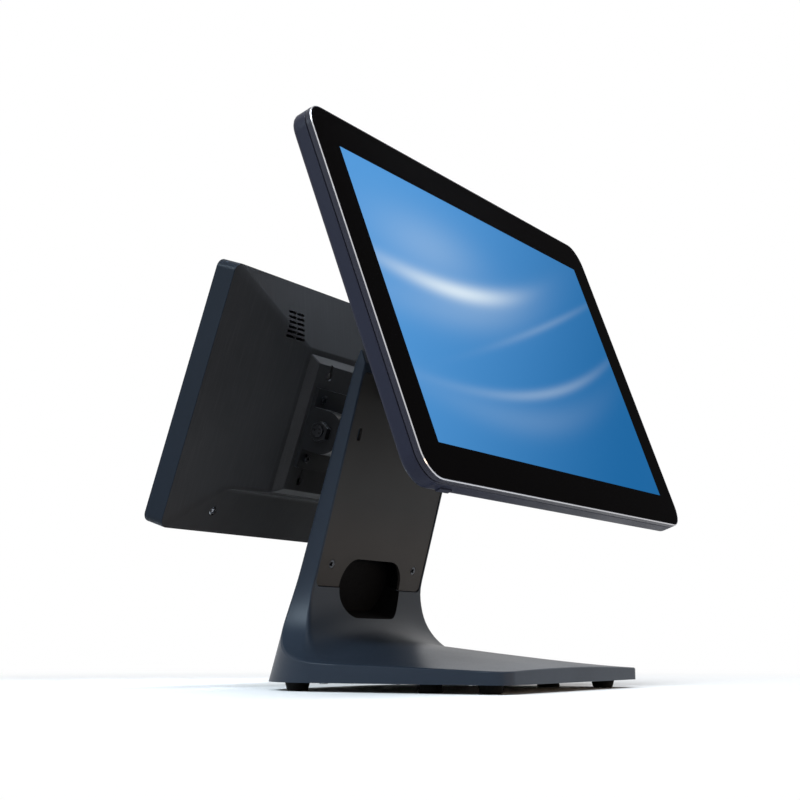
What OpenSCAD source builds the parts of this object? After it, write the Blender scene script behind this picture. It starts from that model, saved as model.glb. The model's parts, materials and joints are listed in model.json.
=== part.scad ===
// Dual-screen point-of-sale terminal: a main touch screen for the operator
// and a smaller customer screen behind it, both on one cast stand.
// X runs across the screens, -Y faces the operator, +Y faces the customer
// and Z rises from the table. Inside a screen, the local Y runs through its
// thickness and the local Z runs up its face.

/* [Main screen] */
// Lit width of the main screen
screen_w = 344.2; // [300:0.1:420]
// Lit height of the main screen
screen_h = 193.5; // [175:0.1:240]
// Black border of the glass at each side
border_side = 24.2; // [18:0.1:34]
// Black border of the glass above the lit area
border_top = 24; // [18:0.1:34]
// Black border of the glass below the lit area
border_bottom = 22.5; // [18:0.1:34]
// Thickness of the touch glass
glass_t = 1.8; // [1.1:0.1:2]
// Width of the polished trim around the glass
trim_w = 1.1; // [0.8:0.1:2]
// Corner radius of the glass
glass_r = 16; // [8:1:22]
// Depth of the front frame, glass included
front_t = 4; // [3.6:0.1:6]
// Shadow gap between the front frame and the rear housing
groove = 0.6; // [0.3:0.1:1]
// Thickness of the screen at its edge
edge_t = 14.6; // [14:0.1:22]
// Lean of the main screen away from upright, in degrees
main_tilt = 20; // [10:1:30]
// Height of the glass centre above the table
main_z = 231; // [225:1:260]

/* [Main screen rear] */
// Width of the raised electronics bay at its foot
bay_w = 240; // [234:1:260]
// Height of the electronics bay
bay_h = 150; // [148:1:170]
// How far the bay's centre lies below the glass centre
bay_drop = 12; // [6:1:18]
// Depth of the screen at the bay, front glass to rear face
bay_d = 38; // [36:1:42]
// How far each side of the bay slopes in over its depth
bay_slope = 8; // [4:1:9]
// Wall of the plastic housings
wall = 2; // [1.6:0.1:2.6]

/* [Boards and ports] */
// Width of the main circuit board
board_w = 190; // [180:1:196]
// Height of the main circuit board
board_h = 118; // [110:1:122]
// Thickness of the circuit boards
board_t = 1.6; // [1:0.1:2]
// Height of the board above the chassis sheet
standoff_h = 5; // [4:0.5:6]
// Width of the processor cooler
cooler_w = 90; // [60:1:100]
// Height of the processor cooler
cooler_h = 66; // [50:1:70]
// Number of cooler fins
fins = 15; // [8:1:18]

/* [Stand] */
// Width of the base
base_w = 210; // [200:1:240]
// How far the base reaches in front of the glass centre
base_front = 40.5; // [30:0.5:60]
// Height of the underside above the table, which is the height of the feet
foot_h = 5.5; // [4:0.5:9]
// Diameter of a foot at its top
foot_d = 16; // [14:0.5:22]
// How much a foot tapers
foot_taper = 2.5; // [1:0.1:4]
// Distance from the front feet back to the middle feet
mid_foot_back = 41; // [38:1:46]
// Height of the base's centre line at its front edge
nose_h = 15; // [13:0.1:18]
// Rise of the base towards the column, in degrees
base_rise = 7; // [4:0.1:8]
// How far the base's sides lie below its centre line at the front edge
side_drop = 1.8; // [0.4:0.1:3]
// How much lower they lie for each millimetre towards the column
side_fall = 0.0887; // [0.06:0.0001:0.1]
// Radius of the base's rear corners
rear_r = 54; // [40:1:60]
// Radius of the base's front corners
nose_r = 12; // [8:1:20]
// Width of the column
column_w = 141; // [132:1:150]
// Forward lean of the column's front face, in degrees
column_lean = 15.1; // [13:0.1:17]
// Forward lean of the column's rear face, in degrees
back_lean = 17.3; // [17.2:0.1:18.5]
// Height of the column's ridge above the table
column_top = 220.4; // [216:0.1:224]
// Radius of the fillet from the base up to the column
front_fillet = 32; // [28:1:42]
// Radius of the flare from the base up to each side of the column
side_flare = 32; // [24:1:34]
// Wall left behind the cable channel
channel_wall = 3; // [2.5:0.1:4]
// Width of the cable channel
channel_w = 100; // [96:1:104]
// Thickness of the column cover
cover_t = 2; // [1.5:0.1:2.5]
// Width of the cable hole
hole_w = 79; // [60:1:84]
// Height of the cable hole
hole_h = 38.5; // [30:0.5:42]

/* [Hinges] */
// Radius of the main tilt shafts
shaft_r = 5; // [4:0.5:6]
// Radius of the customer screen's hinge shaft
pin_r = 4; // [3:0.5:5]
// Running clearance of a shaft in its bore, on the radius
running = 0.05; // [0.02:0.01:0.08]
// Thickness of the hinge ears
ear_t = 4; // [3:0.5:5]
// Gap between two hinge ears, filled by a washer
ear_gap = 1; // [0.8:0.1:1.5]

/* [Customer screen] */
// Lit width of the customer screen
guest_lit_w = 256.3; // [230:0.1:270]
// Lit height of the customer screen
guest_lit_h = 144.2; // [138:0.1:160]
// Border of the customer screen at each side of the lit area
guest_side = 15.85; // [14.5:0.05:26]
// Border of the customer screen above and below the lit area
guest_end = 15.9; // [14.5:0.1:22]
// Depth of the edge band
guest_band = 15.5; // [15:0.5:19]
// Corner radius of the customer screen
guest_r = 6; // [5:0.5:12]
// Lean of the customer screen away from upright, in degrees
guest_tilt = 19; // [12:1:24]
// Height of the customer screen's centre above the table
guest_z = 186; // [180:1:200]
// Distance of the customer screen's centre behind the main glass centre
guest_y = 156; // [152:1:170]
// Width of the raised mounting pad on the customer screen's back
pad_w = 118; // [110:1:130]
// Height of the raised mounting pad
pad_h = 98; // [90:1:110]
// Height of the mounting pad above the rear edge of the band
pad_d = 20.5; // [19:0.5:22]
// Step at the edge of the mounting pad
pad_step = 5; // [2:0.5:5]

/* [Fits] */
// Clearance around parts that drop into a seat
fit = 0.15; // [0.1:0.05:0.3]

/* [Hidden] */
$fn = 48;

casting_color = [0.13, 0.15, 0.19];
cover_color = [0.19, 0.18, 0.18];
housing_color = [0.12, 0.11, 0.14];
black = [0.03, 0.03, 0.04];
steel = [0.55, 0.56, 0.58];
dark_steel = [0.25, 0.26, 0.28];
board_green = [0.05, 0.22, 0.12];
bright = [0.78, 0.79, 0.8];
over = 1; // how far a cut runs past a face
play = 0.3; // gap between faces that turn or slide past each other

// Main screen stack, measured back from the front of the glass
glass_w = screen_w + 2 * border_side;
glass_h = screen_h + border_top + border_bottom;
frame_w = glass_w + 2 * trim_w;
frame_h = glass_h + 2 * trim_w;
frame_r = glass_r + trim_w;
lit_drop = (border_top - border_bottom) / 2;
panel_w = screen_w + 8;
panel_h = screen_h + 8;
panel_y = glass_t + 0.2;
tray_w = panel_w + 8;
tray_h = panel_h + 14;
tray_t = 4;
tongue = 3;
housing_y = front_t + groove;
sheet_t = 1;
chassis_y = front_t + tray_t;
board_y = chassis_y + sheet_t + standoff_h;
board_top = board_y + board_t;
post_d = 6;
post_x = tray_w / 2 + post_d / 2 + 1.5;
post_z = tray_h / 2 - 12;
chassis_w = 2 * post_x + post_d;
chassis_h = tray_h + 4;
screw_r = 1.5;
screw_hole = screw_r + 0.2;
bay_z = -bay_drop;
bay_floor = bay_z - bay_h / 2;
board_z = bay_floor + wall + 1 + board_h / 2;
port_z = bay_floor + wall + fit;

// Hinges: the main tilt axis in the main screen's own frame
axis_back = bay_d + 22.9;
axis_z = -16;
leaf_t = 2.5;
barrel_r = 11;
ear_x = 29;
outer_ear_x = ear_x + ear_t + ear_gap;
tilt_y = axis_z * sin(main_tilt) + axis_back * cos(main_tilt);
tilt_z = main_z + axis_z * cos(main_tilt) - axis_back * sin(main_tilt);

// Column: the front plane is y = foot_y - z * tan(column_lean)
foot_y = 133.6;
column_d = 20.7;
rear_foot_y = foot_y + column_d;
seam_v = 69.4;
hole_v = 70;
hole_r = 18;
flange = 2.4;
cover_inset = 0.4;
cover_seat = cover_t + cover_inset;
cover_top_v = column_top / cos(column_lean) - 15.3;
cover_r = 4;
window_w = 80;
floor_n = 8.4;
pad_n = floor_n + channel_wall;
bolt_r = 2.5;
bracket_t = 3;
arm_t = 4;
tilt_n = (tilt_y - foot_y) * cos(column_lean) + tilt_z * sin(column_lean);
tilt_v = (foot_y - tilt_y) * sin(column_lean) + tilt_z * cos(column_lean);
bracket_w = 84;
bracket_h = 36;
bracket_v = cover_top_v - 20;
window_v = bracket_v + 2.5;
bracket_foot_v = bracket_v - bracket_h / 2 - 3;
channel_top_v = cover_top_v - 1;
// Depth of the column's rear face behind its front face, at v up the column
function back_n(v) = column_d / cos(back_lean - column_lean) * cos(back_lean)
    - v * tan(back_lean - column_lean);
hole_floor_n = back_n(hole_v + hole_h / 2) - channel_wall;
bolt_x = 22;
bolt_v = 11;

// Customer hinge axis in the customer screen's own frame
pin_back = pad_d + 15.5;
pin_z = -3.6;
knuckle_r = 12;
ear_r = 15;
guest_leaf_t = 3;
lug_x = 30;
knuckle_end = 50;
pin_y = guest_y - pin_back * cos(guest_tilt) - pin_z * sin(guest_tilt);
pin_h = guest_z - pin_back * sin(guest_tilt) + pin_z * cos(guest_tilt);
pin_n = (pin_y - foot_y) * cos(column_lean) + pin_h * sin(column_lean);
pin_v = (foot_y - pin_y) * sin(column_lean) + pin_h * cos(column_lean);

// Customer screen stack, measured forward from the rear edge of the band
guest_w = guest_lit_w + 2 * guest_side;
guest_h = guest_lit_h + 2 * guest_end;
guest_glass_t = 1.8;
guest_lip = 1.5;
guest_glass_y = guest_band - guest_glass_t;
guest_seat_y = guest_glass_y - guest_lip;
guest_lcd_w = guest_lit_w + 6;
guest_lcd_h = guest_lit_h + 8;
guest_tray_t = 3.5;
guest_tray_y = guest_seat_y - guest_tray_t;
guest_chassis_y = guest_tray_y - sheet_t;
low_d = 8.2;
screw_in = 15.5;
pad_margin = 4;
foot_step = 3;
pad_slope_x = 5.5;
pad_slope_z = 4.5;
vent_x = [73, 82.2];
vent_w = 8.6;
vent_t = 1.6;
vent_rows = 6;
vent_pitch = 3.2;
vent_top = 19.5;
key_head_r = 3;
key_slot_r = 1.4;
key_rise = 6.6;
guest_band_half = guest_h / 2 - 32;

// Base
base_tan = tan(base_rise);
plate_t = 1.5;
rim = 4;
roof_z = foot_h + plate_t + 3;
foot_x = base_w / 2 - 20;
foot_front_y = 20 - base_front;
foot_rear_y = foot_y - 16;
plate_screw_d = 8;

// The bounding box runs from the main screen's lower edge to the customer
// screen's lower edge, and the origin is under its middle.
front_y = min(-frame_h / 2 * sin(main_tilt), -base_front);
rear_y = guest_y + guest_band * cos(guest_tilt) + guest_h / 2 * sin(guest_tilt);
middle_y = (front_y + rear_y) / 2;

// Places
module in_row() { translate([0, -middle_y, 0]) children(); }
module on_main() { in_row() translate([0, 0, main_z]) rotate([-main_tilt, 0, 0]) children(); }
module on_column() { in_row() translate([0, foot_y, 0]) rotate([column_lean, 0, 0]) children(); }
module on_guest() { in_row() translate([0, guest_y, guest_z]) rotate([guest_tilt, 0, 0]) children(); }

// Shapes
module round_rect(w, h, r) {
    square([w - 2 * r, h], center = true);
    square([w, h - 2 * r], center = true);
    for (x = [-1, 1], z = [-1, 1])
        translate([x * (w / 2 - r), z * (h / 2 - r)]) circle(r);
}
// A flat outline in X and Z, given thickness along Y from y0 to y1
module stand_up(y0, y1) {
    translate([0, y1, 0]) rotate([90, 0, 0]) linear_extrude(y1 - y0) children();
}
module plate(w, h, r, y0, y1) { stand_up(y0, y1) round_rect(w, h, r); }
module block(w, h, y0, y1) { translate([-w / 2, y0, -h / 2]) cube([w, y1 - y0, h]); }
module rod_y(r, y0, y1) { translate([0, y0, 0]) rotate([-90, 0, 0]) cylinder(r = r, h = y1 - y0); }
module rod_x(r, x0, x1) { translate([x0, 0, 0]) rotate([0, 90, 0]) cylinder(r = r, h = x1 - x0); }
module at_corners(x, z) { for (i = [-1, 1], j = [-1, 1]) translate([i * x, 0, j * z]) children(); }
module both_sides() { for (i = [0, 1]) mirror([i, 0, 0]) children(); }
// A flat outline in Y and Z, given width along X from x0 to x1
module wide(x0, x1) { translate([x0, 0, 0]) rotate([90, 0, 90]) linear_extrude(x1 - x0) children(); }
// A block whose four sides slope in as it goes from y0 to y1
module sloped_block(w, h, slope_x, slope_z, y0, y1) {
    intersection() {
        translate([0, 0, -h / 2]) linear_extrude(h) polygon([
            [-w / 2, y0], [w / 2, y0], [w / 2 - slope_x, y1], [slope_x - w / 2, y1]]);
        wide(-w / 2, w / 2) polygon([
            [y0, -h / 2], [y0, h / 2], [y1, h / 2 - slope_z], [y1, slope_z - h / 2]]);
    }
}
// A screw along Y with its head at y = head_y; the shank goes on to y = tip_y
module screw_y(r, head_r, head_t, head_y, tip_y) {
    s = tip_y > head_y ? 1 : -1;
    rotate([s > 0 ? 0 : 180, 0, 0]) translate([0, s * head_y, 0]) {
        difference() {
            rod_y(head_r, 0, head_t);
            rod_y(head_r / 2.4, -over, head_t / 2, $fn = 6);
        }
        rod_y(r, head_t, abs(tip_y - head_y));
    }
}
// A board corner pattern
module board_corners() {
    translate([0, 0, board_z]) at_corners(board_w / 2 - 6, board_h / 2 - 6) children();
}

// ---- Main screen ----
module touch_glass() color(black) on_main() plate(glass_w, glass_h, glass_r, 0, glass_t);

module trim_ring() color(bright) on_main() difference() {
    plate(frame_w, frame_h, frame_r, 0, glass_t);
    plate(glass_w + 2 * fit, glass_h + 2 * fit, glass_r + fit, -over, glass_t + over);
}

module front_frame() color(housing_color) on_main() {
    tongue_w = frame_w - 2 * (wall + fit);
    tongue_h = frame_h - 2 * (wall + fit);
    difference() {
        plate(frame_w, frame_h, frame_r, glass_t, front_t);
        translate([0, 0, -lit_drop])
            block(panel_w + 2 * fit, panel_h + 2 * fit, glass_t - over, front_t + over);
    }
    difference() {
        plate(tongue_w, tongue_h, frame_r - wall, front_t, front_t + tongue);
        plate(tongue_w - 2 * wall, tongue_h - 2 * wall, frame_r - 2 * wall,
              front_t - over, front_t + tongue + over);
    }
    translate([0, 0, -lit_drop]) chassis_posts() difference() {
        rod_y(post_d / 2, front_t, chassis_y);
        rod_y(screw_r, front_t + over, chassis_y + over);
    }
}
module chassis_posts() {
    for (x = [-1, 1], z = [-1, 0, 1]) translate([x * post_x, 0, z * post_z]) children();
}

module lcd_panel() color([0.05, 0.35, 0.65]) on_main()
    translate([0, 0, -lit_drop]) block(panel_w, panel_h, panel_y, front_t);

module backlight_tray() color(bright) on_main()
    translate([0, 0, -lit_drop]) block(tray_w, tray_h, front_t, chassis_y);

module chassis_sheet() color(steel) on_main() difference() {
    translate([0, 0, -lit_drop]) block(chassis_w, chassis_h, chassis_y, chassis_y + sheet_t);
    translate([0, 0, -lit_drop]) chassis_posts()
        rod_y(screw_hole, chassis_y - over, chassis_y + sheet_t + over);
    housing_bosses() rod_y(screw_hole, chassis_y - over, chassis_y + sheet_t + over);
}

module chassis_screws() color(bright) on_main() translate([0, 0, -lit_drop]) chassis_posts()
    screw_y(screw_r - fit / 3, 2.8, 1.2, chassis_y + sheet_t + 1.2, chassis_y - 2.5);

// Corner bosses of the rear housing, above the chassis sheet
module housing_bosses() { at_corners(chassis_w / 2 - 20, chassis_h / 2 - 22) children(); }

module bay_shape(inset, y0, y1) {
    translate([0, 0, bay_z])
        sloped_block(bay_w - 2 * inset, bay_h - 2 * inset, bay_slope, 0, y0, y1);
}
module rear_housing() color(housing_color) on_main() difference() {
    union() {
        difference() {
            union() {
                plate(frame_w, frame_h, frame_r, housing_y, edge_t);
                bay_shape(0, edge_t - over, bay_d);
            }
            plate(frame_w - 2 * wall, frame_h - 2 * wall, frame_r - wall,
                  housing_y - over, edge_t - wall);
            bay_shape(wall, edge_t - wall - over, bay_d - wall);
        }
        housing_bosses() rod_y(4, chassis_y + sheet_t, edge_t - wall + 0.5);
    }
    housing_bosses() rod_y(screw_hole, chassis_y, edge_t + over);
    housing_bosses() rod_y(3.2, edge_t - 1.4, edge_t + over);
    leaf_bolt_places() rod_y(bolt_r + 0.25, bay_d - wall - over, bay_d + over);
    bay_vents();
    speaker_slots();
    port_cuts();
    button_slot();
}
module bay_vents() {
    slot_w = 24;
    for (x = [-2 : 2], z = [0 : 5])
        translate([x * 34, bay_d, bay_z + 22 + z * 5]) cube([slot_w, 3 * wall, 2.2], center = true);
}
speaker_w = 42;
speaker_h = 20;
speaker_x = frame_w / 2 - speaker_w / 2 - 41;
speaker_z = -frame_h / 2 + speaker_h / 2 + 20;
module speaker_slots() both_sides()
    for (i = [-4 : 4])
        translate([speaker_x + i * 4, edge_t, speaker_z])
            cube([1.8, 3 * wall, speaker_h - 4], center = true);

module housing_screws() color(bright) on_main() housing_bosses()
    screw_y(screw_r, 2.9, 1.2, edge_t - 0.1, chassis_y + 0.2);

// Steel top hat that carries the screen from its hinge to the chassis
mount_w = bay_w - 2 * (bay_slope + wall + 1.5);
mount_h = 56;
mount_t = 2;
module hinge_mount_frame() color(steel) on_main() translate([0, 0, axis_z]) {
    top_y = bay_d - wall;
    foot_w = 6;
    difference() {
        block(mount_w, mount_h, top_y - mount_t, top_y);
        translate([0, 0, -axis_z]) leaf_bolt_places()
            rod_y(bolt_r + running, top_y - mount_t - over, top_y + over);
    }
    both_sides() {
        translate([mount_w / 2 - mount_t / 2, 0, 0])
            block(mount_t, mount_h, chassis_y + sheet_t, top_y - mount_t / 2);
        translate([mount_w / 2 - mount_t / 2 + foot_w / 2, 0, 0])
            block(foot_w, mount_h, chassis_y + sheet_t, chassis_y + sheet_t + mount_t);
    }
}

module mainboard() color(board_green) on_main() difference() {
    translate([0, 0, board_z]) block(board_w, board_h, board_y, board_top);
    board_corners() rod_y(screw_hole, board_y - over, board_top + over);
}

module board_standoffs() color(bright) on_main() board_corners() difference() {
    rod_y(2.75, chassis_y + sheet_t, board_y);
    rod_y(screw_r, board_y - 3, board_y + over);
}

module board_screws() color(bright) on_main() board_corners()
    screw_y(screw_r - fit / 3, 2.8, 1.2, board_top + 1.2, board_y - 2.5);

chip_t = 1.6;
chip_x = -14;
chip_z = board_z + board_h / 2 - cooler_h / 2 - 16;
module processor() color(dark_steel) on_main()
    translate([chip_x, 0, chip_z]) block(34, 28, board_top, board_top + chip_t);

module heatsink() color(steel) on_main() translate([chip_x, 0, chip_z]) {
    base_y = board_top + chip_t;
    fin_y = base_y + 4;
    fin_t = 1.6;
    pitch = (cooler_w - fin_t) / (fins - 1);
    block(cooler_w, cooler_h, base_y, fin_y);
    for (i = [0 : fins - 1])
        translate([-cooler_w / 2 + i * pitch, fin_y - 0.5, -cooler_h / 2])
            cube([fin_t, bay_d - wall - mount_t - 4 - fin_y, cooler_h]);
}

memory_x = board_w / 2 - 26;
module_l = 67.6;
module_w = 30;
module memory_slot() color(black) on_main() translate([memory_x, 0, board_z])
    difference() {
        block(7, module_l + 2.4, board_top, board_top + 5);
        translate([-3, 0, 0])
            block(5, module_l + 2 * fit, board_top + 2.4 - fit, board_top + 3.6 + fit);
    }

module memory_module() color(board_green) on_main()
    translate([memory_x - 0.7 - module_w / 2, 0, board_z])
        block(module_w, module_l, board_top + 2.4, board_top + 3.6);

module storage_drive() color([0.08, 0.1, 0.3]) on_main()
    translate([-board_w / 2 + 17, 0, board_z + 6]) block(22, 80, board_top, board_top + 3.5);

// ---- Ports along the lower wall of the bay ----
// Each entry gives a port's centre in X, its width and its height off the board
inlet_x = 17 - board_w / 2;
inlet_size = 11;
network_x = inlet_x + 21;
network_size = [16, 13.5];
usb_x = [inlet_x + 41, inlet_x + 58];
usb_size = [13.2, 15.6];
video_x = inlet_x + 79;
video_size = [15, 5.6];
serial_x = [inlet_x + 105, inlet_x + 140];
serial_size = [30.8, 12.5];
port_depth = 15;
module port_block(x, w, h, y = board_top) {
    translate([x - w / 2, y, port_z]) cube([w, h, port_depth]);
}
module port_window(x, w, h, y = board_top) {
    translate([x - w / 2 - fit, y - fit, bay_floor - over])
        cube([w + 2 * fit, h + 2 * fit, wall + 2 * over + fit]);
}
module port_cuts() {
    port_window(inlet_x, inlet_size, inlet_size);
    port_window(network_x, network_size[0], network_size[1]);
    for (x = usb_x) port_window(x, usb_size[0], usb_size[1]);
    port_window(video_x, video_size[0], video_size[1]);
    for (x = serial_x) port_window(x, serial_size[0], serial_size[1]);
}
module power_inlet() color(black) on_main() {
    difference() {
        port_block(inlet_x, inlet_size, inlet_size);
        translate([inlet_x, board_top + inlet_size / 2, port_z - over]) cylinder(r = 3.2, h = 10);
    }
    translate([inlet_x, board_top + inlet_size / 2, port_z + 0.8]) cylinder(r = 1.1, h = 10);
}
module network_port() color(bright) on_main() difference() {
    port_block(network_x, network_size[0], network_size[1]);
    translate([network_x - 5.9, board_top + 2.6, port_z - over]) cube([11.8, 8.2, 12 + over]);
    translate([network_x - 3, board_top + 1, port_z - over]) cube([6, 3, 12 + over]);
}
module usb_ports() color(bright) on_main() for (x = usb_x) {
    difference() {
        port_block(x, usb_size[0], usb_size[1]);
        for (y = [1.1, 9.4])
            translate([x - 6, board_top + y, port_z - over]) cube([12, 5.1, 9 + over]);
    }
    for (y = [1.1, 9.4])
        translate([x - 5.4, board_top + y + 2.6, port_z + 0.5]) cube([10.8, 1.8, 9]);
}
module video_port() color(steel) on_main() difference() {
    port_block(video_x, video_size[0], video_size[1]);
    translate([video_x - 6.9, board_top + 0.8, port_z - over]) cube([13.8, 4, 9 + over]);
}
module serial_ports() color(steel) on_main() for (x = serial_x) {
    difference() {
        port_block(x, serial_size[0], serial_size[1]);
        translate([x - 8.4, board_top + 2, port_z - over]) cube([16.8, 8.5, 5 + over]);
    }
    for (i = [-2 : 2], y = [4.8, 7.7])
        translate([x + i * 2.7, board_top + y, port_z + 0.6]) cylinder(r = 0.5, h = 4.6);
}

module speakers() color(black) on_main() both_sides()
    translate([speaker_x, 0, speaker_z])
        block(speaker_w, speaker_h, chassis_y + sheet_t + 0.1, edge_t - wall);

controller_w = 64;
controller_h = 16;
module touch_controller() color(board_green) on_main()
    translate([0, 0, chassis_h / 2 - controller_h / 2 - 4])
        block(controller_w, controller_h, chassis_y + sheet_t, chassis_y + sheet_t + 1.2);

// ---- Power button under the lower edge ----
button_x = -frame_w / 2 + 34;
button_w = 14;
button_t = 3.4;
button_y = edge_t - wall - button_t / 2 - 0.4;
button_travel = 0.8;
button_floor = -frame_h / 2;
flange_h = 1;
stem_h = 2.2;
module button_slot() translate([button_x, button_y, button_floor])
    cube([button_w + 4 * fit, button_t + 4 * fit, 4 * wall], center = true);

module power_button() color(bright) on_main() translate([button_x, 0, button_floor]) {
    cap_h = wall + button_travel + 2 * play;
    translate([0, 0, wall + play + 0.2 - cap_h / 2])
        block(button_w, cap_h, button_y - button_t / 2, button_y + button_t / 2);
    translate([0, 0, wall + play + flange_h / 2])
        block(button_w + 3, flange_h, button_y - button_t / 2 - 0.4, button_y + button_t / 2 + 0.1);
    translate([0, 0, wall + play + flange_h + stem_h / 2 - 0.1])
        block(4, stem_h + 0.2, button_y - 1.2, button_y + 1.2);
}
module power_switch() color(board_green) on_main() translate([button_x, 0, button_floor]) {
    top_y = edge_t - wall;
    switch_z = wall + play + flange_h + stem_h + button_travel + fit;
    translate([0, 0, switch_z + 2]) block(6, 4, button_y - 1.6, top_y - 1);
    translate([0, 0, switch_z + 5]) block(24, 9, top_y - 1.2, top_y);
}

// ---- Main tilt hinge ----
leaf_w = 108;
leaf_h = 52;
module leaf_bolt_places() {
    translate([0, 0, axis_z]) at_corners(leaf_w / 2 - 10, leaf_h / 2 - 8) children();
}
// An ear from a wall up to its round end, drawn in Y and Z about the pin
module ear_outline(r, half_foot, reach) {
    circle(r);
    polygon([[0, -r], [0, r], [-reach, half_foot], [-reach, -half_foot]]);
}
module tilt_leaf() color(steel) on_main() translate([0, 0, axis_z]) {
    back = bay_d + leaf_t;
    difference() {
        block(leaf_w, leaf_h, bay_d, back);
        translate([0, 0, -axis_z]) leaf_bolt_places()
            rod_y(bolt_r + 0.25, bay_d - over, back + over);
    }
    both_sides() translate([0, axis_back, 0]) difference() {
        wide(ear_x, ear_x + ear_t)
            ear_outline(barrel_r, leaf_h / 2 - 6, axis_back - back + 0.5);
        rod_x(shaft_r + running, ear_x - over, ear_x + ear_t + over);
    }
}
module tilt_leaf_bolts() color(dark_steel) on_main() leaf_bolt_places()
    screw_y(bolt_r, 4.5, 2.6, bay_d + leaf_t + 2.6, bay_d - wall - mount_t - 1);

module on_tilt_axis() { on_column() translate([0, tilt_n, tilt_v]) children(); }
module tilt_bracket() color(steel) {
    on_column() difference() {
        translate([0, 0, bracket_v]) block(bracket_w, bracket_h, floor_n - bracket_t, floor_n);
        column_bolt_places() rod_y(bolt_r + 0.25, 0, floor_n + over);
    }
    on_tilt_axis() both_sides() difference() {
        wide(outer_ear_x, outer_ear_x + ear_t) {
            circle(barrel_r);
            polygon([
                [-barrel_r * sin(30), barrel_r * cos(30)],
                [floor_n - bracket_t - tilt_n + 0.5, bracket_v + bracket_h / 2 - tilt_v],
                [floor_n - bracket_t - tilt_n + 0.5, window_v + 1 - tilt_v],
                [-barrel_r * sin(60), -barrel_r * cos(60)]]);
        }
        rod_x(shaft_r + fit / 5, outer_ear_x - over, outer_ear_x + ear_t + over);
    }
}
module column_bolt_places() { translate([0, 0, bracket_v]) at_corners(bolt_x, bolt_v) children(); }
module column_bolts() color(dark_steel) on_column() column_bolt_places()
    screw_y(bolt_r, 4.5, 2.6, floor_n - bracket_t - 2.6, pad_n + arm_t - 0.2);

washer_t = ear_gap - play;
nut_t = 5;
shaft_head = 3;
module tilt_shafts() color(bright) on_tilt_axis() both_sides() {
    rod_x(shaft_r + 3, ear_x - shaft_head - play, ear_x - play);
    rod_x(shaft_r, ear_x - play - over, outer_ear_x + ear_t + washer_t + nut_t + 1);
}
module washer(r, x0) {
    difference() {
        rod_x(r + 4, x0, x0 + washer_t);
        rod_x(r + running, x0 - over, x0 + washer_t + over);
    }
}
module tilt_washers() color(bright) on_tilt_axis() both_sides() {
    washer(shaft_r, outer_ear_x - washer_t);
    washer(shaft_r, outer_ear_x + ear_t);
}
module hex_nut(r, x0) {
    difference() {
        rod_x(1.8 * r, x0, x0 + nut_t, $fn = 6);
        rod_x(r + running, x0 - over, x0 + nut_t + over);
    }
}
module tilt_nuts() color(steel) on_tilt_axis() both_sides()
    hex_nut(shaft_r, outer_ear_x + ear_t + washer_t);

// ---- Stand ----
function front_at(z) = foot_y - z * tan(column_lean);
function back_at(z) = rear_foot_y - z * tan(back_lean);
function crown_at(y) = nose_h + (y + base_front) * base_tan;
function drop_at(y) = side_drop + side_fall * (y + base_front);
function top_at(x, y) = crown_at(y) - drop_at(y) * pow(2 * x / base_w, 2);

// Centre of the front fillet, which touches the column face and the crown line
slope = cos(column_lean - base_rise);
crown_0 = crown_at(0) * cos(base_rise);
face_0 = foot_y * cos(column_lean);
function meet(r) = [
    ((face_0 - r) * cos(base_rise) - sin(column_lean) * (r + crown_0)) / slope,
    (cos(column_lean) * (r + crown_0) + sin(base_rise) * (face_0 - r)) / slope];

// The column's side view in Y and Z, with the fillet that runs down onto the
// base. Its circle stays shy of the two corners that it would only touch.
shy = 0.02;
module side_view() {
    ridge_y = front_at(column_top) + 6;
    shoulder = column_top - 9;
    centre = meet(front_fillet);
    difference() {
        polygon([
            [centre[0] + front_fillet * sin(base_rise), foot_h], [back_at(foot_h), foot_h],
            [back_at(shoulder - 1.5), shoulder - 1.5], [ridge_y, column_top],
            [front_at(shoulder), shoulder],
            centre + front_fillet * [cos(column_lean), sin(column_lean)],
            centre, centre + front_fillet * [sin(base_rise), -cos(base_rise)]]);
        translate(centre) circle(front_fillet - shy, $fn = 96);
    }
}
// The column's front view in X and Z, with a flare down to the base at each side
module front_view() {
    foot_z = top_at(column_w / 2 + side_flare, foot_y - front_fillet / 2);
    half = column_w / 2;
    difference() {
        translate([-half - side_flare, foot_h])
            square([column_w + 2 * side_flare, column_top - foot_h]);
        for (x = [-1, 1]) translate([x * (half + side_flare), foot_z + side_flare]) {
            circle(side_flare, $fn = 96);
            translate([-side_flare, 0]) square([2 * side_flare, column_top]);
        }
    }
}
// Plan of the base in X and Y; rear_radius 0 leaves square rear corners
module base_outline(inset, rear_radius) {
    w = base_w - 2 * inset;
    y0 = inset - base_front;
    y1 = back_at(foot_h) - inset;
    r0 = nose_r - inset / 2;
    translate([0, (y0 + y1) / 2]) difference() {
        square([w, y1 - y0], center = true);
        for (i = [0, 1]) mirror([i, 0]) {
            if (rear_radius > 0)
                translate([w / 2 - rear_radius, (y1 - y0) / 2 - rear_radius]) corner_cut(rear_radius);
            mirror([0, 1]) translate([w / 2 - r0, (y1 - y0) / 2 - r0]) corner_cut(r0);
        }
    }
}
module corner_cut(r) {
    difference() {
        square(r + over);
        circle(r, $fn = 96);
    }
}
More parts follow.
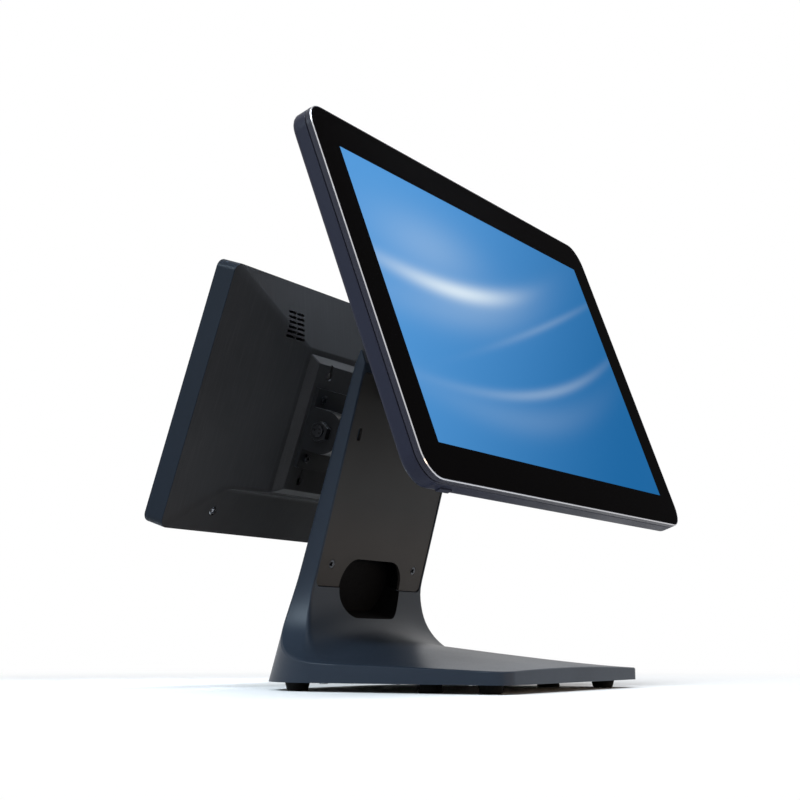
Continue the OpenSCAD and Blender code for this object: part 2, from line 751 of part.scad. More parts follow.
// The base's solid block under its crowned top: a front and a rear row of
// points along the top, then the four corners of the underside
module base_block() {
    y = [-base_front, back_at(foot_h)];
    x = [for (i = [-2 : 2]) i * base_w / 4];
    points = concat(
        [for (j = [0, 1], i = [0 : 4]) [x[i], y[j], top_at(x[i], y[j])]],
        [for (j = [0, 1], i = [0, 4]) [x[i], y[j], foot_h]]);
    strips = [for (i = [0 : 3], t = [[5, 6], [6, 1]]) [i, i + t[0], i + t[1]]];
    polyhedron(points, concat(strips, [
        [10, 0, 1, 2, 3, 4, 11], [13, 9, 8, 7, 6, 5, 12],
        [12, 5, 0, 10], [11, 4, 9, 13], [11, 13, 12, 10]]));
}
// Everything in front of the leaning back, with its two rounded rear corners
module back_limit() {
    reach = 3 * base_w;
    translate([0, rear_foot_y, 0]) rotate([back_lean, 0, 0])
        translate([0, -reach / 2, -base_w / 4]) linear_extrude(column_top * 2) difference() {
            square([base_w, reach], center = true);
            for (i = [0, 1]) mirror([i, 0])
                translate([base_w / 2 - rear_r, reach / 2 - rear_r]) corner_cut(rear_r);
        }
}
module stand_body() {
    intersection() {
        union() {
            base_block();
            intersection() {
                wide(-base_w / 2, base_w / 2) side_view();
                stand_up(-base_w, base_w) front_view();
            }
        }
        translate([0, 0, foot_h]) linear_extrude(column_top) base_outline(0, 0);
        back_limit();
    }
}
module hole_outline() { translate([0, hole_v]) round_rect(hole_w, hole_h, hole_r); }
module column_cuts() {
    translate([0, foot_y, 0]) rotate([column_lean, 0, 0]) {
        // Seat of the cover
        translate([0, 0, (seam_v + cover_top_v) / 2])
            plate(column_w - 2 * flange, cover_top_v - seam_v, cover_r, -over, cover_seat);
        // Channel behind it, deeper towards the hole at its foot
        wide(-channel_w / 2, channel_w / 2) polygon([
            [0, hole_v], [0, channel_top_v], [floor_n, channel_top_v],
            [floor_n, bracket_foot_v], [hole_floor_n, hole_v]]);
        stand_up(-front_fillet, hole_floor_n) hole_outline();
        column_bolt_places() rod_y(bolt_r + 0.25, floor_n - over, pad_n + over);
        // Flat pad for the customer arm
        translate([0, 0, bracket_v]) block(bracket_w + 2, bracket_h + 2, pad_n, pad_n + 12);
        cover_screw_places() rod_y(screw_r, cover_seat - over, cover_seat + 6);
    }
}
module cover_screw_places() {
    for (x = [-1, 1]) translate([x * cover_screw_x, 0, cover_screw_v]) children();
}
cover_screw_x = 54;
cover_screw_v = 84.4;
cover_slot_x = 57;
cover_slot_v = cover_top_v - 41;
module plate_screw_places() {
    for (x = [-1, 1], y = [foot_front_y + 16, (foot_front_y + foot_rear_y) / 2, foot_rear_y - 16])
        translate([x * (foot_x - 6), y, 0]) children();
}
module stand_casting() color(casting_color) in_row() difference() {
    union() {
        difference() {
            stand_body();
            translate([0, 0, foot_h - over]) linear_extrude(plate_t + over)
                base_outline(rim - 2, rear_r);
            translate([0, 0, foot_h]) linear_extrude(roof_z - foot_h) base_outline(rim, rear_r);
        }
        plate_screw_places() translate([0, 0, foot_h + plate_t])
            cylinder(d = plate_screw_d, h = roof_z - foot_h - plate_t + 0.5);
    }
    plate_screw_places() translate([0, 0, foot_h]) cylinder(r = screw_r, h = roof_z - foot_h);
    column_cuts();
}

module column_cover() color(cover_color) on_column() difference() {
    translate([0, 0, (seam_v + cover_top_v) / 2])
        plate(column_w - 2 * flange - 2 * fit, cover_top_v - seam_v - 2 * fit, cover_r - fit,
              cover_inset, cover_seat);
    stand_up(-over, cover_seat + over) {
        hole_outline();
        translate([0, (window_v + cover_top_v) / 2 + over])
            square([window_w, cover_top_v - window_v + 2 * over], center = true);
        for (x = [-1, 1]) translate([x * cover_slot_x, cover_slot_v]) round_rect(4.4, 9, 2.1);
    }
    cover_screw_places() {
        rod_y(screw_hole, -over, cover_seat + over);
        rotate([-90, 0, 0]) cylinder(r1 = 3.8, r2 = screw_hole, h = cover_inset + 1.6);
    }
}
module cover_screws() color(dark_steel) on_column() cover_screw_places() {
    difference() {
        translate([0, cover_inset + 0.1, 0]) rotate([-90, 0, 0])
            cylinder(r1 = 3.2, r2 = screw_r - fit / 3, h = 1.5);
        rod_y(1.3, 0, cover_inset + 0.9, $fn = 6);
    }
    rod_y(screw_r - fit / 3, cover_inset + 1.5, cover_seat + 5);
}

module base_plate() color(dark_steel) in_row() difference() {
    translate([0, 0, foot_h]) linear_extrude(plate_t) base_outline(rim - 2 + fit, rear_r);
    plate_screw_places() translate([0, 0, foot_h - over])
        cylinder(r = screw_hole, h = plate_t + 2 * over);
}
module base_plate_screws() color(bright) in_row() plate_screw_places()
    translate([0, 0, foot_h]) {
        difference() {
            translate([0, 0, -1.2]) cylinder(r = 2.8, h = 1.2);
            translate([0, 0, -1.2 - over]) cylinder(r = 1.2, h = over + 0.7, $fn = 6);
        }
        cylinder(r = screw_r - fit / 3, h = plate_t + 2.5);
    }

module rubber_feet() color(black) in_row() for (x = [-foot_x, foot_x]) {
    for (y = [foot_front_y, foot_rear_y])
        translate([x, y, 0]) cylinder(d1 = foot_d - foot_taper, d2 = foot_d, h = foot_h);
    translate([x, foot_front_y + mid_foot_back, 0])
        cylinder(d1 = foot_d, d2 = foot_d - foot_taper, h = foot_h);
}

// ---- Customer screen hinge ----
module customer_arm() color(casting_color) on_column() difference() {
    union() {
        translate([0, 0, bracket_v]) block(bracket_w, bracket_h, pad_n, pad_n + arm_t);
        translate([0, pin_n, pin_v]) wide(-lug_x, lug_x) {
            circle(knuckle_r);
            polygon([
                [0, -knuckle_r], [0, knuckle_r],
                [pad_n + arm_t - 0.5 - pin_n, bracket_v + bracket_h / 2 - pin_v],
                [pad_n + arm_t - 0.5 - pin_n, bracket_v - bracket_h / 2 - pin_v]]);
        }
    }
    column_bolt_places() rod_y(bolt_r + running, pad_n - over, pad_n + arm_t);
    translate([0, pin_n, pin_v]) rod_x(pin_r + running, -lug_x - over, lug_x + over);
}

// ---- Customer screen ----
module customer_glass() color(black) on_guest()
    plate(guest_w - 2 * trim_w, guest_h - 2 * trim_w, guest_r - trim_w, guest_glass_y, guest_band);

module customer_frame() color(casting_color) on_guest() difference() {
    plate(guest_w, guest_h, guest_r, 0, guest_band);
    plate(guest_w - 2 * (trim_w - fit), guest_h - 2 * (trim_w - fit), guest_r - trim_w + fit,
          guest_glass_y, guest_band + over);
    plate(guest_w - 2 * wall, guest_h - 2 * wall, guest_r - wall, -over, guest_seat_y);
    block(guest_lcd_w + 2 * fit, guest_lcd_h + 2 * fit, 0, guest_band);
}

module customer_lcd() color([0.05, 0.35, 0.65]) on_guest()
    block(guest_lcd_w, guest_lcd_h, guest_seat_y, guest_glass_y - 0.2);

module customer_backlight() color(bright) on_guest()
    block(guest_lcd_w + 6, guest_lcd_h + 6, guest_tray_y, guest_seat_y);

module customer_chassis() color(steel) on_guest() difference() {
    block(guest_w - 2 * (wall + 2), guest_h - 2 * (wall + 2), guest_chassis_y, guest_tray_y);
    guest_screw_places() rod_y(screw_hole, guest_chassis_y - over, guest_tray_y + over);
}

module guest_screw_places() both_sides()
    translate([guest_w / 2 - 44, 0, screw_in - guest_h / 2]) children();

// The cover's outside, or with an inset its inside: long slopes at the sides
// and the top, a low slope at the foot with a steep step, and the pad
module guest_back(inset) {
    half_w = guest_w / 2 - inset;
    half_h = guest_h / 2 - inset;
    band = guest_band_half - inset;
    low_y = inset - low_d;
    band_y = inset - pad_d + pad_step;
    intersection() {
        translate([0, 0, -half_h]) linear_extrude(2 * half_h) polygon([
            [-half_w, 0], [half_w, 0],
            [pad_w / 2 + pad_margin - inset, band_y],
            [inset - pad_w / 2 - pad_margin, band_y]]);
        wide(-half_w, half_w) polygon([
            [0, -half_h], [0, half_h], [band_y, pin_z + pad_h / 2 + pad_margin - inset],
            [band_y, foot_step - band], [low_y, -band]]);
    }
    translate([0, 0, pin_z]) {
        block(pad_w - 2 * inset, pad_h - 2 * inset, band_y, 0);
        sloped_block(pad_w - 2 * inset, pad_h - 2 * inset, pad_slope_x, pad_slope_z,
                     band_y, inset - pad_d);
    }
}
// Depth of the cover's foot slope at a distance from its lower rim
function slope_y(from_rim) = -low_d * from_rim / (guest_h / 2 - guest_band_half);
screw_seat_y = slope_y(screw_in) + 2;
module customer_rear_cover() color(black) on_guest() difference() {
    union() {
        difference() {
            guest_back(0);
            translate([0, 0.01, 0]) guest_back(wall);
        }
        difference() {
            plate(guest_w - 2 * (wall + fit), guest_h - 2 * (wall + fit), guest_r - wall, -0.5, 3);
            plate(guest_w - 4 * wall, guest_h - 4 * wall, guest_r - 2 * wall, -over, 3 + over);
        }
        guest_screw_places() rod_y(4.5, screw_seat_y - 1, guest_chassis_y);
    }
    guest_screw_places() rod_y(screw_hole, -pad_d, guest_chassis_y + over);
    guest_screw_places() rod_y(3.4, -pad_d, screw_seat_y);
    translate([0, 0, pin_z]) {
        at_corners(vesa / 2, vesa / 2)
            stand_up(-pad_d - over, over - pad_d + wall) keyhole();
        guest_leaf_places() rod_y(screw_hole, -pad_d - over, -pad_d + wall + over);
    }
    guest_vents();
    translate([guest_port_x - guest_port_w / 2 - 1, -pad_d, 2 * wall - guest_h / 2])
        cube([guest_port_w + 2, pad_d + 0.2, guest_port_z + port_l + guest_h / 2 - 2 * wall + fit]);
}
// Hole that a screw head passes, with a narrow slot above it for the shank
module keyhole() {
    circle(key_head_r);
    hull() for (v = [0, key_rise]) translate([0, v]) circle(key_slot_r);
}
module guest_vents() both_sides()
    for (x = vent_x, row = [0 : vent_rows - 1])
        translate([-x, -pad_d / 2, guest_h / 2 - vent_top - row * vent_pitch])
            cube([vent_w, pad_d, vent_t], center = true);
module customer_cover_screws() color(bright) on_guest() guest_screw_places()
    screw_y(screw_r, 2.9, 1.2, screw_seat_y - 1.2, guest_chassis_y + 0.8);

guest_board_w = 96;
guest_board_h = 58;
guest_board_y = guest_chassis_y - 6;
guest_board_rise = 50;
guest_board_z = guest_board_rise - guest_h / 2;
guest_port_w = 15;
guest_port_x = 32;
guest_port_t = 5.6;
port_l = 12;
guest_port_z = guest_board_z - guest_board_h / 2 - 1;
vesa = 75;
module guest_board_places() {
    translate([0, 0, guest_board_z]) at_corners(guest_board_w / 2 - 5, guest_board_h / 2 - 5) children();
}
module customer_board() color(board_green) on_guest() difference() {
    translate([0, 0, guest_board_z])
        block(guest_board_w, guest_board_h, guest_board_y - board_t, guest_board_y);
    guest_board_places() rod_y(screw_hole, guest_board_y - board_t - over, guest_board_y + over);
}
module customer_standoffs() color(bright) on_guest() guest_board_places() {
    rod_y(2.75, guest_board_y, guest_chassis_y);
    rod_y(screw_r, guest_board_y - board_t - 0.2, guest_board_y + 0.5);
}
module customer_port() color(steel) on_guest() translate([guest_port_x, 0, 0]) {
    back_y = guest_board_y - board_t;
    difference() {
        translate([-guest_port_w / 2, back_y - guest_port_t, guest_port_z])
            cube([guest_port_w, guest_port_t, port_l]);
        translate([0.8 - guest_port_w / 2, back_y - guest_port_t + 0.7, guest_port_z - over])
            cube([guest_port_w - 1.6, 4.2, port_l - 3 + over]);
    }
}

guest_leaf_h = 56;
module guest_leaf_places() { at_corners(knuckle_end - 9, guest_leaf_h / 2 - 7) children(); }
module customer_leaf() color(dark_steel) on_guest() translate([0, 0, pin_z]) {
    rear = -pad_d - guest_leaf_t;
    difference() {
        block(2 * knuckle_end, guest_leaf_h, rear, -pad_d);
        guest_leaf_places() rod_y(screw_hole, rear - over, -pad_d + over);
    }
    both_sides() translate([0, -pin_back, 0]) difference() {
        wide(lug_x + ear_gap, knuckle_end) {
            circle(ear_r);
            translate([0, -ear_r]) square([pin_back + rear + 0.5, 2 * ear_r]);
        }
        rod_x(pin_r + fit / 5, lug_x, knuckle_end + over);
    }
}
module customer_leaf_screws() color(bright) on_guest() translate([0, 0, pin_z]) guest_leaf_places()
    screw_y(screw_r, 2.9, 1.2, -pad_d - guest_leaf_t - 1.2, wall + 2 - pad_d);
module on_pin() { on_guest() translate([0, -pin_back, pin_z]) children(); }
module customer_shaft() color(bright) on_pin()
    rod_x(pin_r, -knuckle_end - washer_t - nut_t - 1, knuckle_end + washer_t + nut_t + 1);
module customer_washers() color(bright) on_pin() both_sides()
    washer(pin_r, lug_x + ear_gap - washer_t);
module customer_nuts() color(steel) on_pin() both_sides() hex_nut(pin_r, knuckle_end);

touch_glass();
trim_ring();
front_frame();
lcd_panel();
backlight_tray();
chassis_sheet();
chassis_screws();
rear_housing();
housing_screws();
hinge_mount_frame();
mainboard();
board_standoffs();
board_screws();
processor();
heatsink();
memory_slot();
memory_module();
storage_drive();
power_inlet();
network_port();
usb_ports();
video_port();
serial_ports();
speakers();
touch_controller();
power_switch();
tilt_leaf();
tilt_leaf_bolts();
power_button();
stand_casting();
column_cover();
cover_screws();
base_plate();
base_plate_screws();
rubber_feet();
tilt_bracket();
column_bolts();
tilt_shafts();
tilt_washers();
tilt_nuts();
customer_arm();
customer_glass();
customer_frame();
customer_lcd();
customer_backlight();
customer_chassis();
customer_rear_cover();
customer_cover_screws();
customer_board();
customer_standoffs();
customer_port();
customer_leaf();
customer_leaf_screws();
customer_shaft();
customer_washers();
customer_nuts();
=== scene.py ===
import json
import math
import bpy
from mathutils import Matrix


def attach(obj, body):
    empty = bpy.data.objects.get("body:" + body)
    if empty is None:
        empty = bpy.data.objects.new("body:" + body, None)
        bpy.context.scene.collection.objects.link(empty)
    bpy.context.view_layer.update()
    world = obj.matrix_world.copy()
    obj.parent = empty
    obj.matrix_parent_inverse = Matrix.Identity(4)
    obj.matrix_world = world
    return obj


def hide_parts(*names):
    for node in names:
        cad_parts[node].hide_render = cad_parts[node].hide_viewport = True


bl_info = {
    "name": "Dual-Screen Checkout Terminal",
    "version": (1, 0, 0),
    "blender": (4, 5, 0),
    "location": "View3D > Sidebar > Terminal",
    "description": "Builds a dual-screen checkout terminal over its mechanical frame",
    "category": "Add Mesh",
}

import bmesh
import bpy
from mathutils import Euler, Matrix, Vector

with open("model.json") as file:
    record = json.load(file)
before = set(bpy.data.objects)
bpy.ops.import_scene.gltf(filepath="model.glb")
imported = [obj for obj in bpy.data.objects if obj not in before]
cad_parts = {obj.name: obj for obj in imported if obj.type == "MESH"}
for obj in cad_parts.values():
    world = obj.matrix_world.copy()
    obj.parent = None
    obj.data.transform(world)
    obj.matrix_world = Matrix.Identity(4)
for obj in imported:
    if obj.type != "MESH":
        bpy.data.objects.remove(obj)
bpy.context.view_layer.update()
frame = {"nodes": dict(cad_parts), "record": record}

MM = 0.001
MIDDLE = 78.943  # distance from the main glass centre back to the origin, in mm


# ---------------------------------------------------------------- settings


class TerminalScreens(bpy.types.PropertyGroup):
    """Sizes of the two screens"""

    lit_width: bpy.props.FloatProperty(
        name="Lit width", description="Lit width of the main screen",
        default=0.3442, unit="LENGTH")
    lit_height: bpy.props.FloatProperty(
        name="Lit height", description="Lit height of the main screen",
        default=0.1935, unit="LENGTH")
    border_side: bpy.props.FloatProperty(
        name="Side border", description="Black border of the glass at each side",
        default=0.0242, unit="LENGTH")
    border_top: bpy.props.FloatProperty(
        name="Top border", description="Black border of the glass above the picture",
        default=0.024, unit="LENGTH")
    border_bottom: bpy.props.FloatProperty(
        name="Bottom border", description="Black border of the glass below the picture",
        default=0.0225, unit="LENGTH")
    rear_edge: bpy.props.FloatProperty(
        name="Rear edge radius", description="Roundness of the housing's rear edge",
        default=0.0035, unit="LENGTH")
    guest_lit_width: bpy.props.FloatProperty(
        name="Customer lit width", description="Lit width of the customer screen",
        default=0.2563, unit="LENGTH")
    guest_lit_height: bpy.props.FloatProperty(
        name="Customer lit height", description="Lit height of the customer screen",
        default=0.1442, unit="LENGTH")
    glow: bpy.props.FloatProperty(
        name="Picture brightness", description="Strength of the lit pictures",
        default=0.93, min=0.0, max=4.0, subtype="FACTOR")


class TerminalFinish(bpy.types.PropertyGroup):
    """Colours of the main finishes, and how soft their edges are"""

    casting: bpy.props.FloatVectorProperty(
        name="Casting coat", description="Powder coat of the stand",
        default=(0.018, 0.025, 0.037), subtype="COLOR", size=3, min=0.0, max=1.0)
    cover: bpy.props.FloatVectorProperty(
        name="Column cover coat", description="Satin coat of the column cover",
        default=(0.0325, 0.0295, 0.0275), subtype="COLOR", size=3, min=0.0, max=1.0)
    housing: bpy.props.FloatVectorProperty(
        name="Housing plastic", description="Plastic of the main screen's housing",
        default=(0.0165, 0.0185, 0.0325), subtype="COLOR", size=3, min=0.0, max=1.0)
    frame: bpy.props.FloatVectorProperty(
        name="Front frame", description="Plastic of the front frame beside the trim",
        default=(0.026, 0.0265, 0.038), subtype="COLOR", size=3, min=0.0, max=1.0)
    guest_cover: bpy.props.FloatVectorProperty(
        name="Customer cover", description="Rear cover of the customer screen",
        default=(0.031, 0.0302, 0.0312), subtype="COLOR", size=3, min=0.0, max=1.0)
    trim: bpy.props.FloatVectorProperty(
        name="Trim", description="Polished trim round the glass",
        default=(0.6, 0.6, 0.62), subtype="COLOR", size=3, min=0.0, max=1.0)
    arm_edge: bpy.props.FloatProperty(
        name="Arm edge", description="Edge radius of the customer screen's hinge arm",
        default=0.00066, unit="LENGTH")
    sheet_edge: bpy.props.FloatProperty(
        name="Sheet edge", description="Edge radius of the sheet and turned parts",
        default=0.0003, unit="LENGTH")


class TerminalStudio(bpy.types.PropertyGroup):
    """Camera and light"""

    lens: bpy.props.FloatProperty(
        name="Lens", description="Focal length on a 36 mm sensor, in mm",
        default=67.75, min=10.0, max=300.0)
    heading: bpy.props.FloatProperty(
        name="Heading", description="Direction the camera looks in, from +Y",
        default=math.radians(-59.81), subtype="ANGLE")
    pitch: bpy.props.FloatProperty(
        name="Pitch", description="How far the camera looks up",
        default=math.radians(9.31), subtype="ANGLE")
    ambient: bpy.props.FloatProperty(
        name="Ambient light", description="Strength of the even light all round",
        default=0.55, min=0.0, max=5.0)


# ---------------------------------------------------------------- places

# Lean of each part about X, in degrees, and the turn of a screw that faces its rear
MAIN_TILT, GUEST_TILT, COLUMN_LEAN = -20, 19, 15.1
MAIN_REAR, GUEST_REAR, COLUMN_FRONT = -110, 109, 105.1


def leaning(y, z, angle):
    """A frame at y behind the main glass centre and height z, in mm, leaning about X"""
    return (Matrix.Translation(Vector((0, y - MIDDLE, z)) * MM)
            @ Matrix.Rotation(math.radians(angle), 4, "X"))


MAIN = leaning(0, 231, MAIN_TILT)
GUEST = leaning(156, 186, GUEST_TILT)
COLUMN = leaning(133.6, 0, COLUMN_LEAN)
TABLE = leaning(0, 0, 0)


# ---------------------------------------------------------------- mesh tools


def loop(w, h, r, y, cz=0.0, cx=0.0, steps=7):
    """Points of a rounded rectangle in X and Z at depth y, in mm"""
    r = max(r, 0.01)
    points = []
    for sx, sz, start in ((1, -1, -90), (1, 1, 0), (-1, 1, 90), (-1, -1, 180)):
        for k in range(steps + 1):
            a = math.radians(start + 90 * k / steps)
            points.append(Vector((
                cx + sx * (w / 2 - r) + r * math.cos(a), y,
                cz + sz * (h / 2 - r) + r * math.sin(a))))
    return points


def loft(bm, loops, end=True, closed=False):
    """Skin a chain of equal loops, capped, left open at its end, or joined to itself"""
    rings = [[bm.verts.new(p) for p in ring] for ring in loops]
    pairs = list(zip(rings, rings[1:])) + ([(rings[-1], rings[0])] if closed else [])
    for a, b in pairs:
        for i in range(len(a)):
            j = (i + 1) % len(a)
            bm.faces.new((a[i], b[i], b[j], a[j]))
    if not closed:
        bm.faces.new(rings[0])
        if end:
            bm.faces.new(rings[-1][::-1])
    return rings


def rounded(w, h, r, y, radius, steps=5):
    """Loops that carry a side round a rear edge of that radius onto the rear face"""
    loops = []
    for k in range(steps + 1):
        a = math.radians(90 * k / steps)
        inset = radius * (1 - math.cos(a))
        loops.append(loop(w - 2 * inset, h - 2 * inset, max(r - inset, 0.3),
                          y + radius * math.sin(a)))
    return loops


def new_object(name, data):
    """An object in the scene that holds this mesh, lamp or camera"""
    obj = bpy.data.objects.new(name, data)
    bpy.context.scene.collection.objects.link(obj)
    return obj


def settle(obj):
    """Turn a piece with modifiers into a plain mesh"""
    bpy.context.view_layer.update()
    evaluated = obj.evaluated_get(bpy.context.evaluated_depsgraph_get())
    mesh = bpy.data.meshes.new_from_object(evaluated)
    obj.modifiers.clear()
    obj.data = mesh
    return obj


def shade(obj, angle=30):
    """Smooth shading with hard edges above the angle, and flat faces kept flat"""
    mesh = obj.data
    mesh.polygons.foreach_set("use_smooth", [True] * len(mesh.polygons))
    mesh.set_sharp_from_angle(angle=math.radians(angle))
    weighted = obj.modifiers.new("weighted", "WEIGHTED_NORMAL")
    weighted.keep_sharp = True
    weighted.weight = 80
    settle(obj)


def new_piece(name, bm, place=None):
    """A piece from mesh data in mm, moved by place into the shared frame"""
    scale = Matrix.Scale(MM, 4)
    bmesh.ops.transform(bm, matrix=(place @ scale) if place else scale, verts=bm.verts)
    bmesh.ops.remove_doubles(bm, verts=bm.verts, dist=1e-6)
    bmesh.ops.recalc_face_normals(bm, faces=bm.faces)
    mesh = bpy.data.meshes.new(name)
    bm.to_mesh(mesh)
    bm.free()
    return new_object(name, mesh)


def place_piece(obj, body, nodes, slot, *materials, angle=30):
    """Shade a finished piece, dress it and let it stand for its CAD nodes"""
    finishes = [polygon.material_index for polygon in obj.data.polygons]
    obj.data.materials.clear()
    for m in materials:
        obj.data.materials.append(m)
    obj.data.polygons.foreach_set("material_index", finishes)
    shade(obj, angle)
    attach(obj, body)
    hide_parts(*nodes)
    return obj


def body_of(node):
    """The body that a CAD node moves with"""
    for body, members in frame["record"]["behaviour"]["bodies"].items():
        if node in members:
            return body
    raise RuntimeError(f"no body holds {node}")


def slot_of(node):
    """The material slot that the record gives a CAD node"""
    for part in frame["record"]["subparts"]:
        if part["node"] == node:
            return part["material_slot"]
    raise RuntimeError(f"no slot for {node}")


def eased(node, width, *materials, angle=25, segments=2, name=None):
    """A merged copy of a CAD node whose hard edges are eased by width, in metres"""
    bm = bmesh.new()
    bm.from_mesh(frame["nodes"][node].data)
    bmesh.ops.remove_doubles(bm, verts=bm.verts, dist=1.5e-6)
    bmesh.ops.dissolve_limit(
        bm, angle_limit=math.radians(0.4), verts=bm.verts, edges=bm.edges)
    mesh = bpy.data.meshes.new(name or node + "_eased")
    bm.to_mesh(mesh)
    bm.free()
    obj = new_object(mesh.name, mesh)
    bevel = obj.modifiers.new("ease", "BEVEL")
    bevel.width = width
    bevel.segments = segments
    bevel.limit_method = "ANGLE"
    bevel.angle_limit = math.radians(angle)
    bevel.use_clamp_overlap = True
    bevel.miter_outer = "MITER_ARC" if segments > 2 else "MITER_SHARP"
    settle(obj)
    return place_piece(obj, body_of(node), [node], slot_of(node), *materials)


# ---------------------------------------------------------------- node tools


def group_nodes(name, inputs, outputs):
    """An empty shader group with its named sockets: (name, type, default)"""
    tree = bpy.data.node_groups.new(name, "ShaderNodeTree")
    for label, kind, value in inputs:
        socket = tree.interface.new_socket(label, in_out="INPUT", socket_type=kind)
        socket.default_value = value
    for label, kind in outputs:
        tree.interface.new_socket(label, in_out="OUTPUT", socket_type=kind)
    return tree, tree.nodes.new("NodeGroupInput"), tree.nodes.new("NodeGroupOutput")


def math_node(tree, operation, a, b):
    """A sum or the like of two numbers or sockets"""
    node = tree.nodes.new("ShaderNodeMath")
    node.operation = operation
    for i, value in enumerate((a, b)):
        if isinstance(value, (int, float)):
            node.inputs[i].default_value = value
        else:
            tree.links.new(value, node.inputs[i])
    return node.outputs[0]


def span(tree, value, low, high, out_low, out_high):
    """Map value from low..high to out_low..out_high, held at the ends"""
    node = tree.nodes.new("ShaderNodeMapRange")
    node.interpolation_type = "SMOOTHSTEP"
    for i, v in enumerate((value, low, high, out_low, out_high)):
        if isinstance(v, (int, float)):
            node.inputs[i].default_value = v
        else:
            tree.links.new(v, node.inputs[i])
    return node.outputs[0]


def blend_colour(tree, factor, a, b):
    """A colour between a and b, each a tuple or a socket"""
    node = tree.nodes.new("ShaderNodeMix")
    node.data_type = "RGBA"
    for socket, value in ((node.inputs[0], factor), (node.inputs[6], a), (node.inputs[7], b)):
        if isinstance(value, (int, float)):
            socket.default_value = value
        elif isinstance(value, (tuple, list)):
            socket.default_value = (*value[:3], 1)
        else:
            tree.links.new(value, socket)
    return node.outputs[2]


def noise(tree, vector, scale, detail, rough):
    """Plain noise over a vector, as one value"""
    node = tree.nodes.new("ShaderNodeTexNoise")
    node.inputs["Detail"].default_value = detail
    node.inputs["Roughness"].default_value = rough
    if isinstance(scale, (int, float)):
        node.inputs["Scale"].default_value = scale
    else:
        tree.links.new(scale, node.inputs["Scale"])
    tree.links.new(vector, node.inputs["Vector"])
    return node.outputs["Fac"]


def stretched(tree, vector, factors):
    """A vector times plain factors or another socket"""
    node = tree.nodes.new("ShaderNodeVectorMath")
    node.operation = "MULTIPLY"
    tree.links.new(vector, node.inputs[0])
    if isinstance(factors, tuple):
        node.inputs[1].default_value = factors
    else:
        tree.links.new(factors, node.inputs[1])
    return node.outputs[0]


def object_coordinates(tree, turn=0.0, shift=(0, 0, 0)):
    """Object coordinates, turned about X and moved"""
    coordinates = tree.nodes.new("ShaderNodeTexCoord").outputs["Object"]
    mapping = tree.nodes.new("ShaderNodeMapping")
    mapping.inputs["Location"].default_value = shift
    mapping.inputs["Rotation"].default_value = (turn, 0, 0)
    tree.links.new(coordinates, mapping.inputs["Vector"])
    return mapping.outputs[0]


def direct_rays(tree):
    """One for rays that see the surroundings as they look, not as they light"""
    path = tree.nodes.new("ShaderNodeLightPath")
    seen = math_node(tree, "MAXIMUM", path.outputs["Is Camera Ray"],
                     path.outputs["Is Glossy Ray"])
    return math_node(tree, "MAXIMUM", seen, path.outputs["Is Transmission Ray"])


def make_grain_group():
    """Fine texture of a coated or moulded surface, with slow change over it"""
    tree, inside, outside = group_nodes(
        "Fine grain",
        [("Scale", "NodeSocketFloat", 900.0), ("Colour A", "NodeSocketColor", (0.5, 0.5, 0.5, 1)),
         ("Colour B", "NodeSocketColor", (0.5, 0.5, 0.5, 1)),
         ("Rough Low", "NodeSocketFloat", 0.3), ("Rough High", "NodeSocketFloat", 0.5)],
        [("Colour", "NodeSocketColor"), ("Roughness", "NodeSocketFloat"),
         ("Height", "NodeSocketFloat")])
    where = object_coordinates(tree)
    fine = noise(tree, where, inside.outputs["Scale"], 2.0, 0.6)
    wide = noise(tree, where, 14.0, 3.0, 0.6)
    tint = span(tree, wide, 0.3, 0.7, 0.0, 1.0)
    tree.links.new(
        blend_colour(tree, tint, inside.outputs["Colour A"], inside.outputs["Colour B"]),
        outside.inputs["Colour"])
    both = math_node(tree, "ADD", math_node(tree, "MULTIPLY", fine, 0.6),
                     math_node(tree, "MULTIPLY", wide, 0.4))
    tree.links.new(
        span(tree, both, 0.3, 0.7, inside.outputs["Rough Low"], inside.outputs["Rough High"]),
        outside.inputs["Roughness"])
    tree.links.new(fine, outside.inputs["Height"])
    return tree


def make_brushed_group():
    """Fine lines along one direction, as left by brushing or rolling"""
    tree, inside, outside = group_nodes(
        "Brushed lines",
        [("Stretch", "NodeSocketVector", (2000.0, 2000.0, 40.0)),
         ("Rough Low", "NodeSocketFloat", 0.25), ("Rough High", "NodeSocketFloat", 0.45)],
        [("Roughness", "NodeSocketFloat"), ("Height", "NodeSocketFloat"),
         ("Mask", "NodeSocketFloat")])
    coordinates = tree.nodes.new("ShaderNodeTexCoord").outputs["Object"]
    lines = noise(tree, stretched(tree, coordinates, inside.outputs["Stretch"]), 1.0, 3.0, 0.65)
    tree.links.new(
        span(tree, lines, 0.3, 0.7, inside.outputs["Rough Low"], inside.outputs["Rough High"]),
        outside.inputs["Roughness"])
    tree.links.new(lines, outside.inputs["Height"])
    tree.links.new(span(tree, lines, 0.45, 0.75, 0.0, 1.0), outside.inputs["Mask"])
    return tree


GROUPS = {}
MATERIALS = {}


def shared_group(name):
    """A shader group, built the first time it is wanted"""
    makers = {"grain": make_grain_group, "brushed": make_brushed_group,
              "ribbons": make_ribbon_group}
    if name not in GROUPS:
        GROUPS[name] = makers[name]()
    return GROUPS[name]


def new_material(name, **sockets):
    """A Principled material with plain values on its own sockets"""
    material = bpy.data.materials.new(name)
    material.use_nodes = True
    shader = material.node_tree.nodes["Principled BSDF"]
    for label, value in sockets.items():
        shader.inputs[label.replace("_", " ")].default_value = value
    MATERIALS[name] = material
    return material, material.node_tree, shader


def put_group(tree, name, **values):
    """A shared group with its own values in this material"""
    node = tree.nodes.new("ShaderNodeGroup")
    node.node_tree = shared_group(name)
    for label, value in values.items():
        socket = node.inputs[label.replace("_", " ")]
        socket.default_value = (*value, 1) if socket.type == "RGBA" else value
    return node


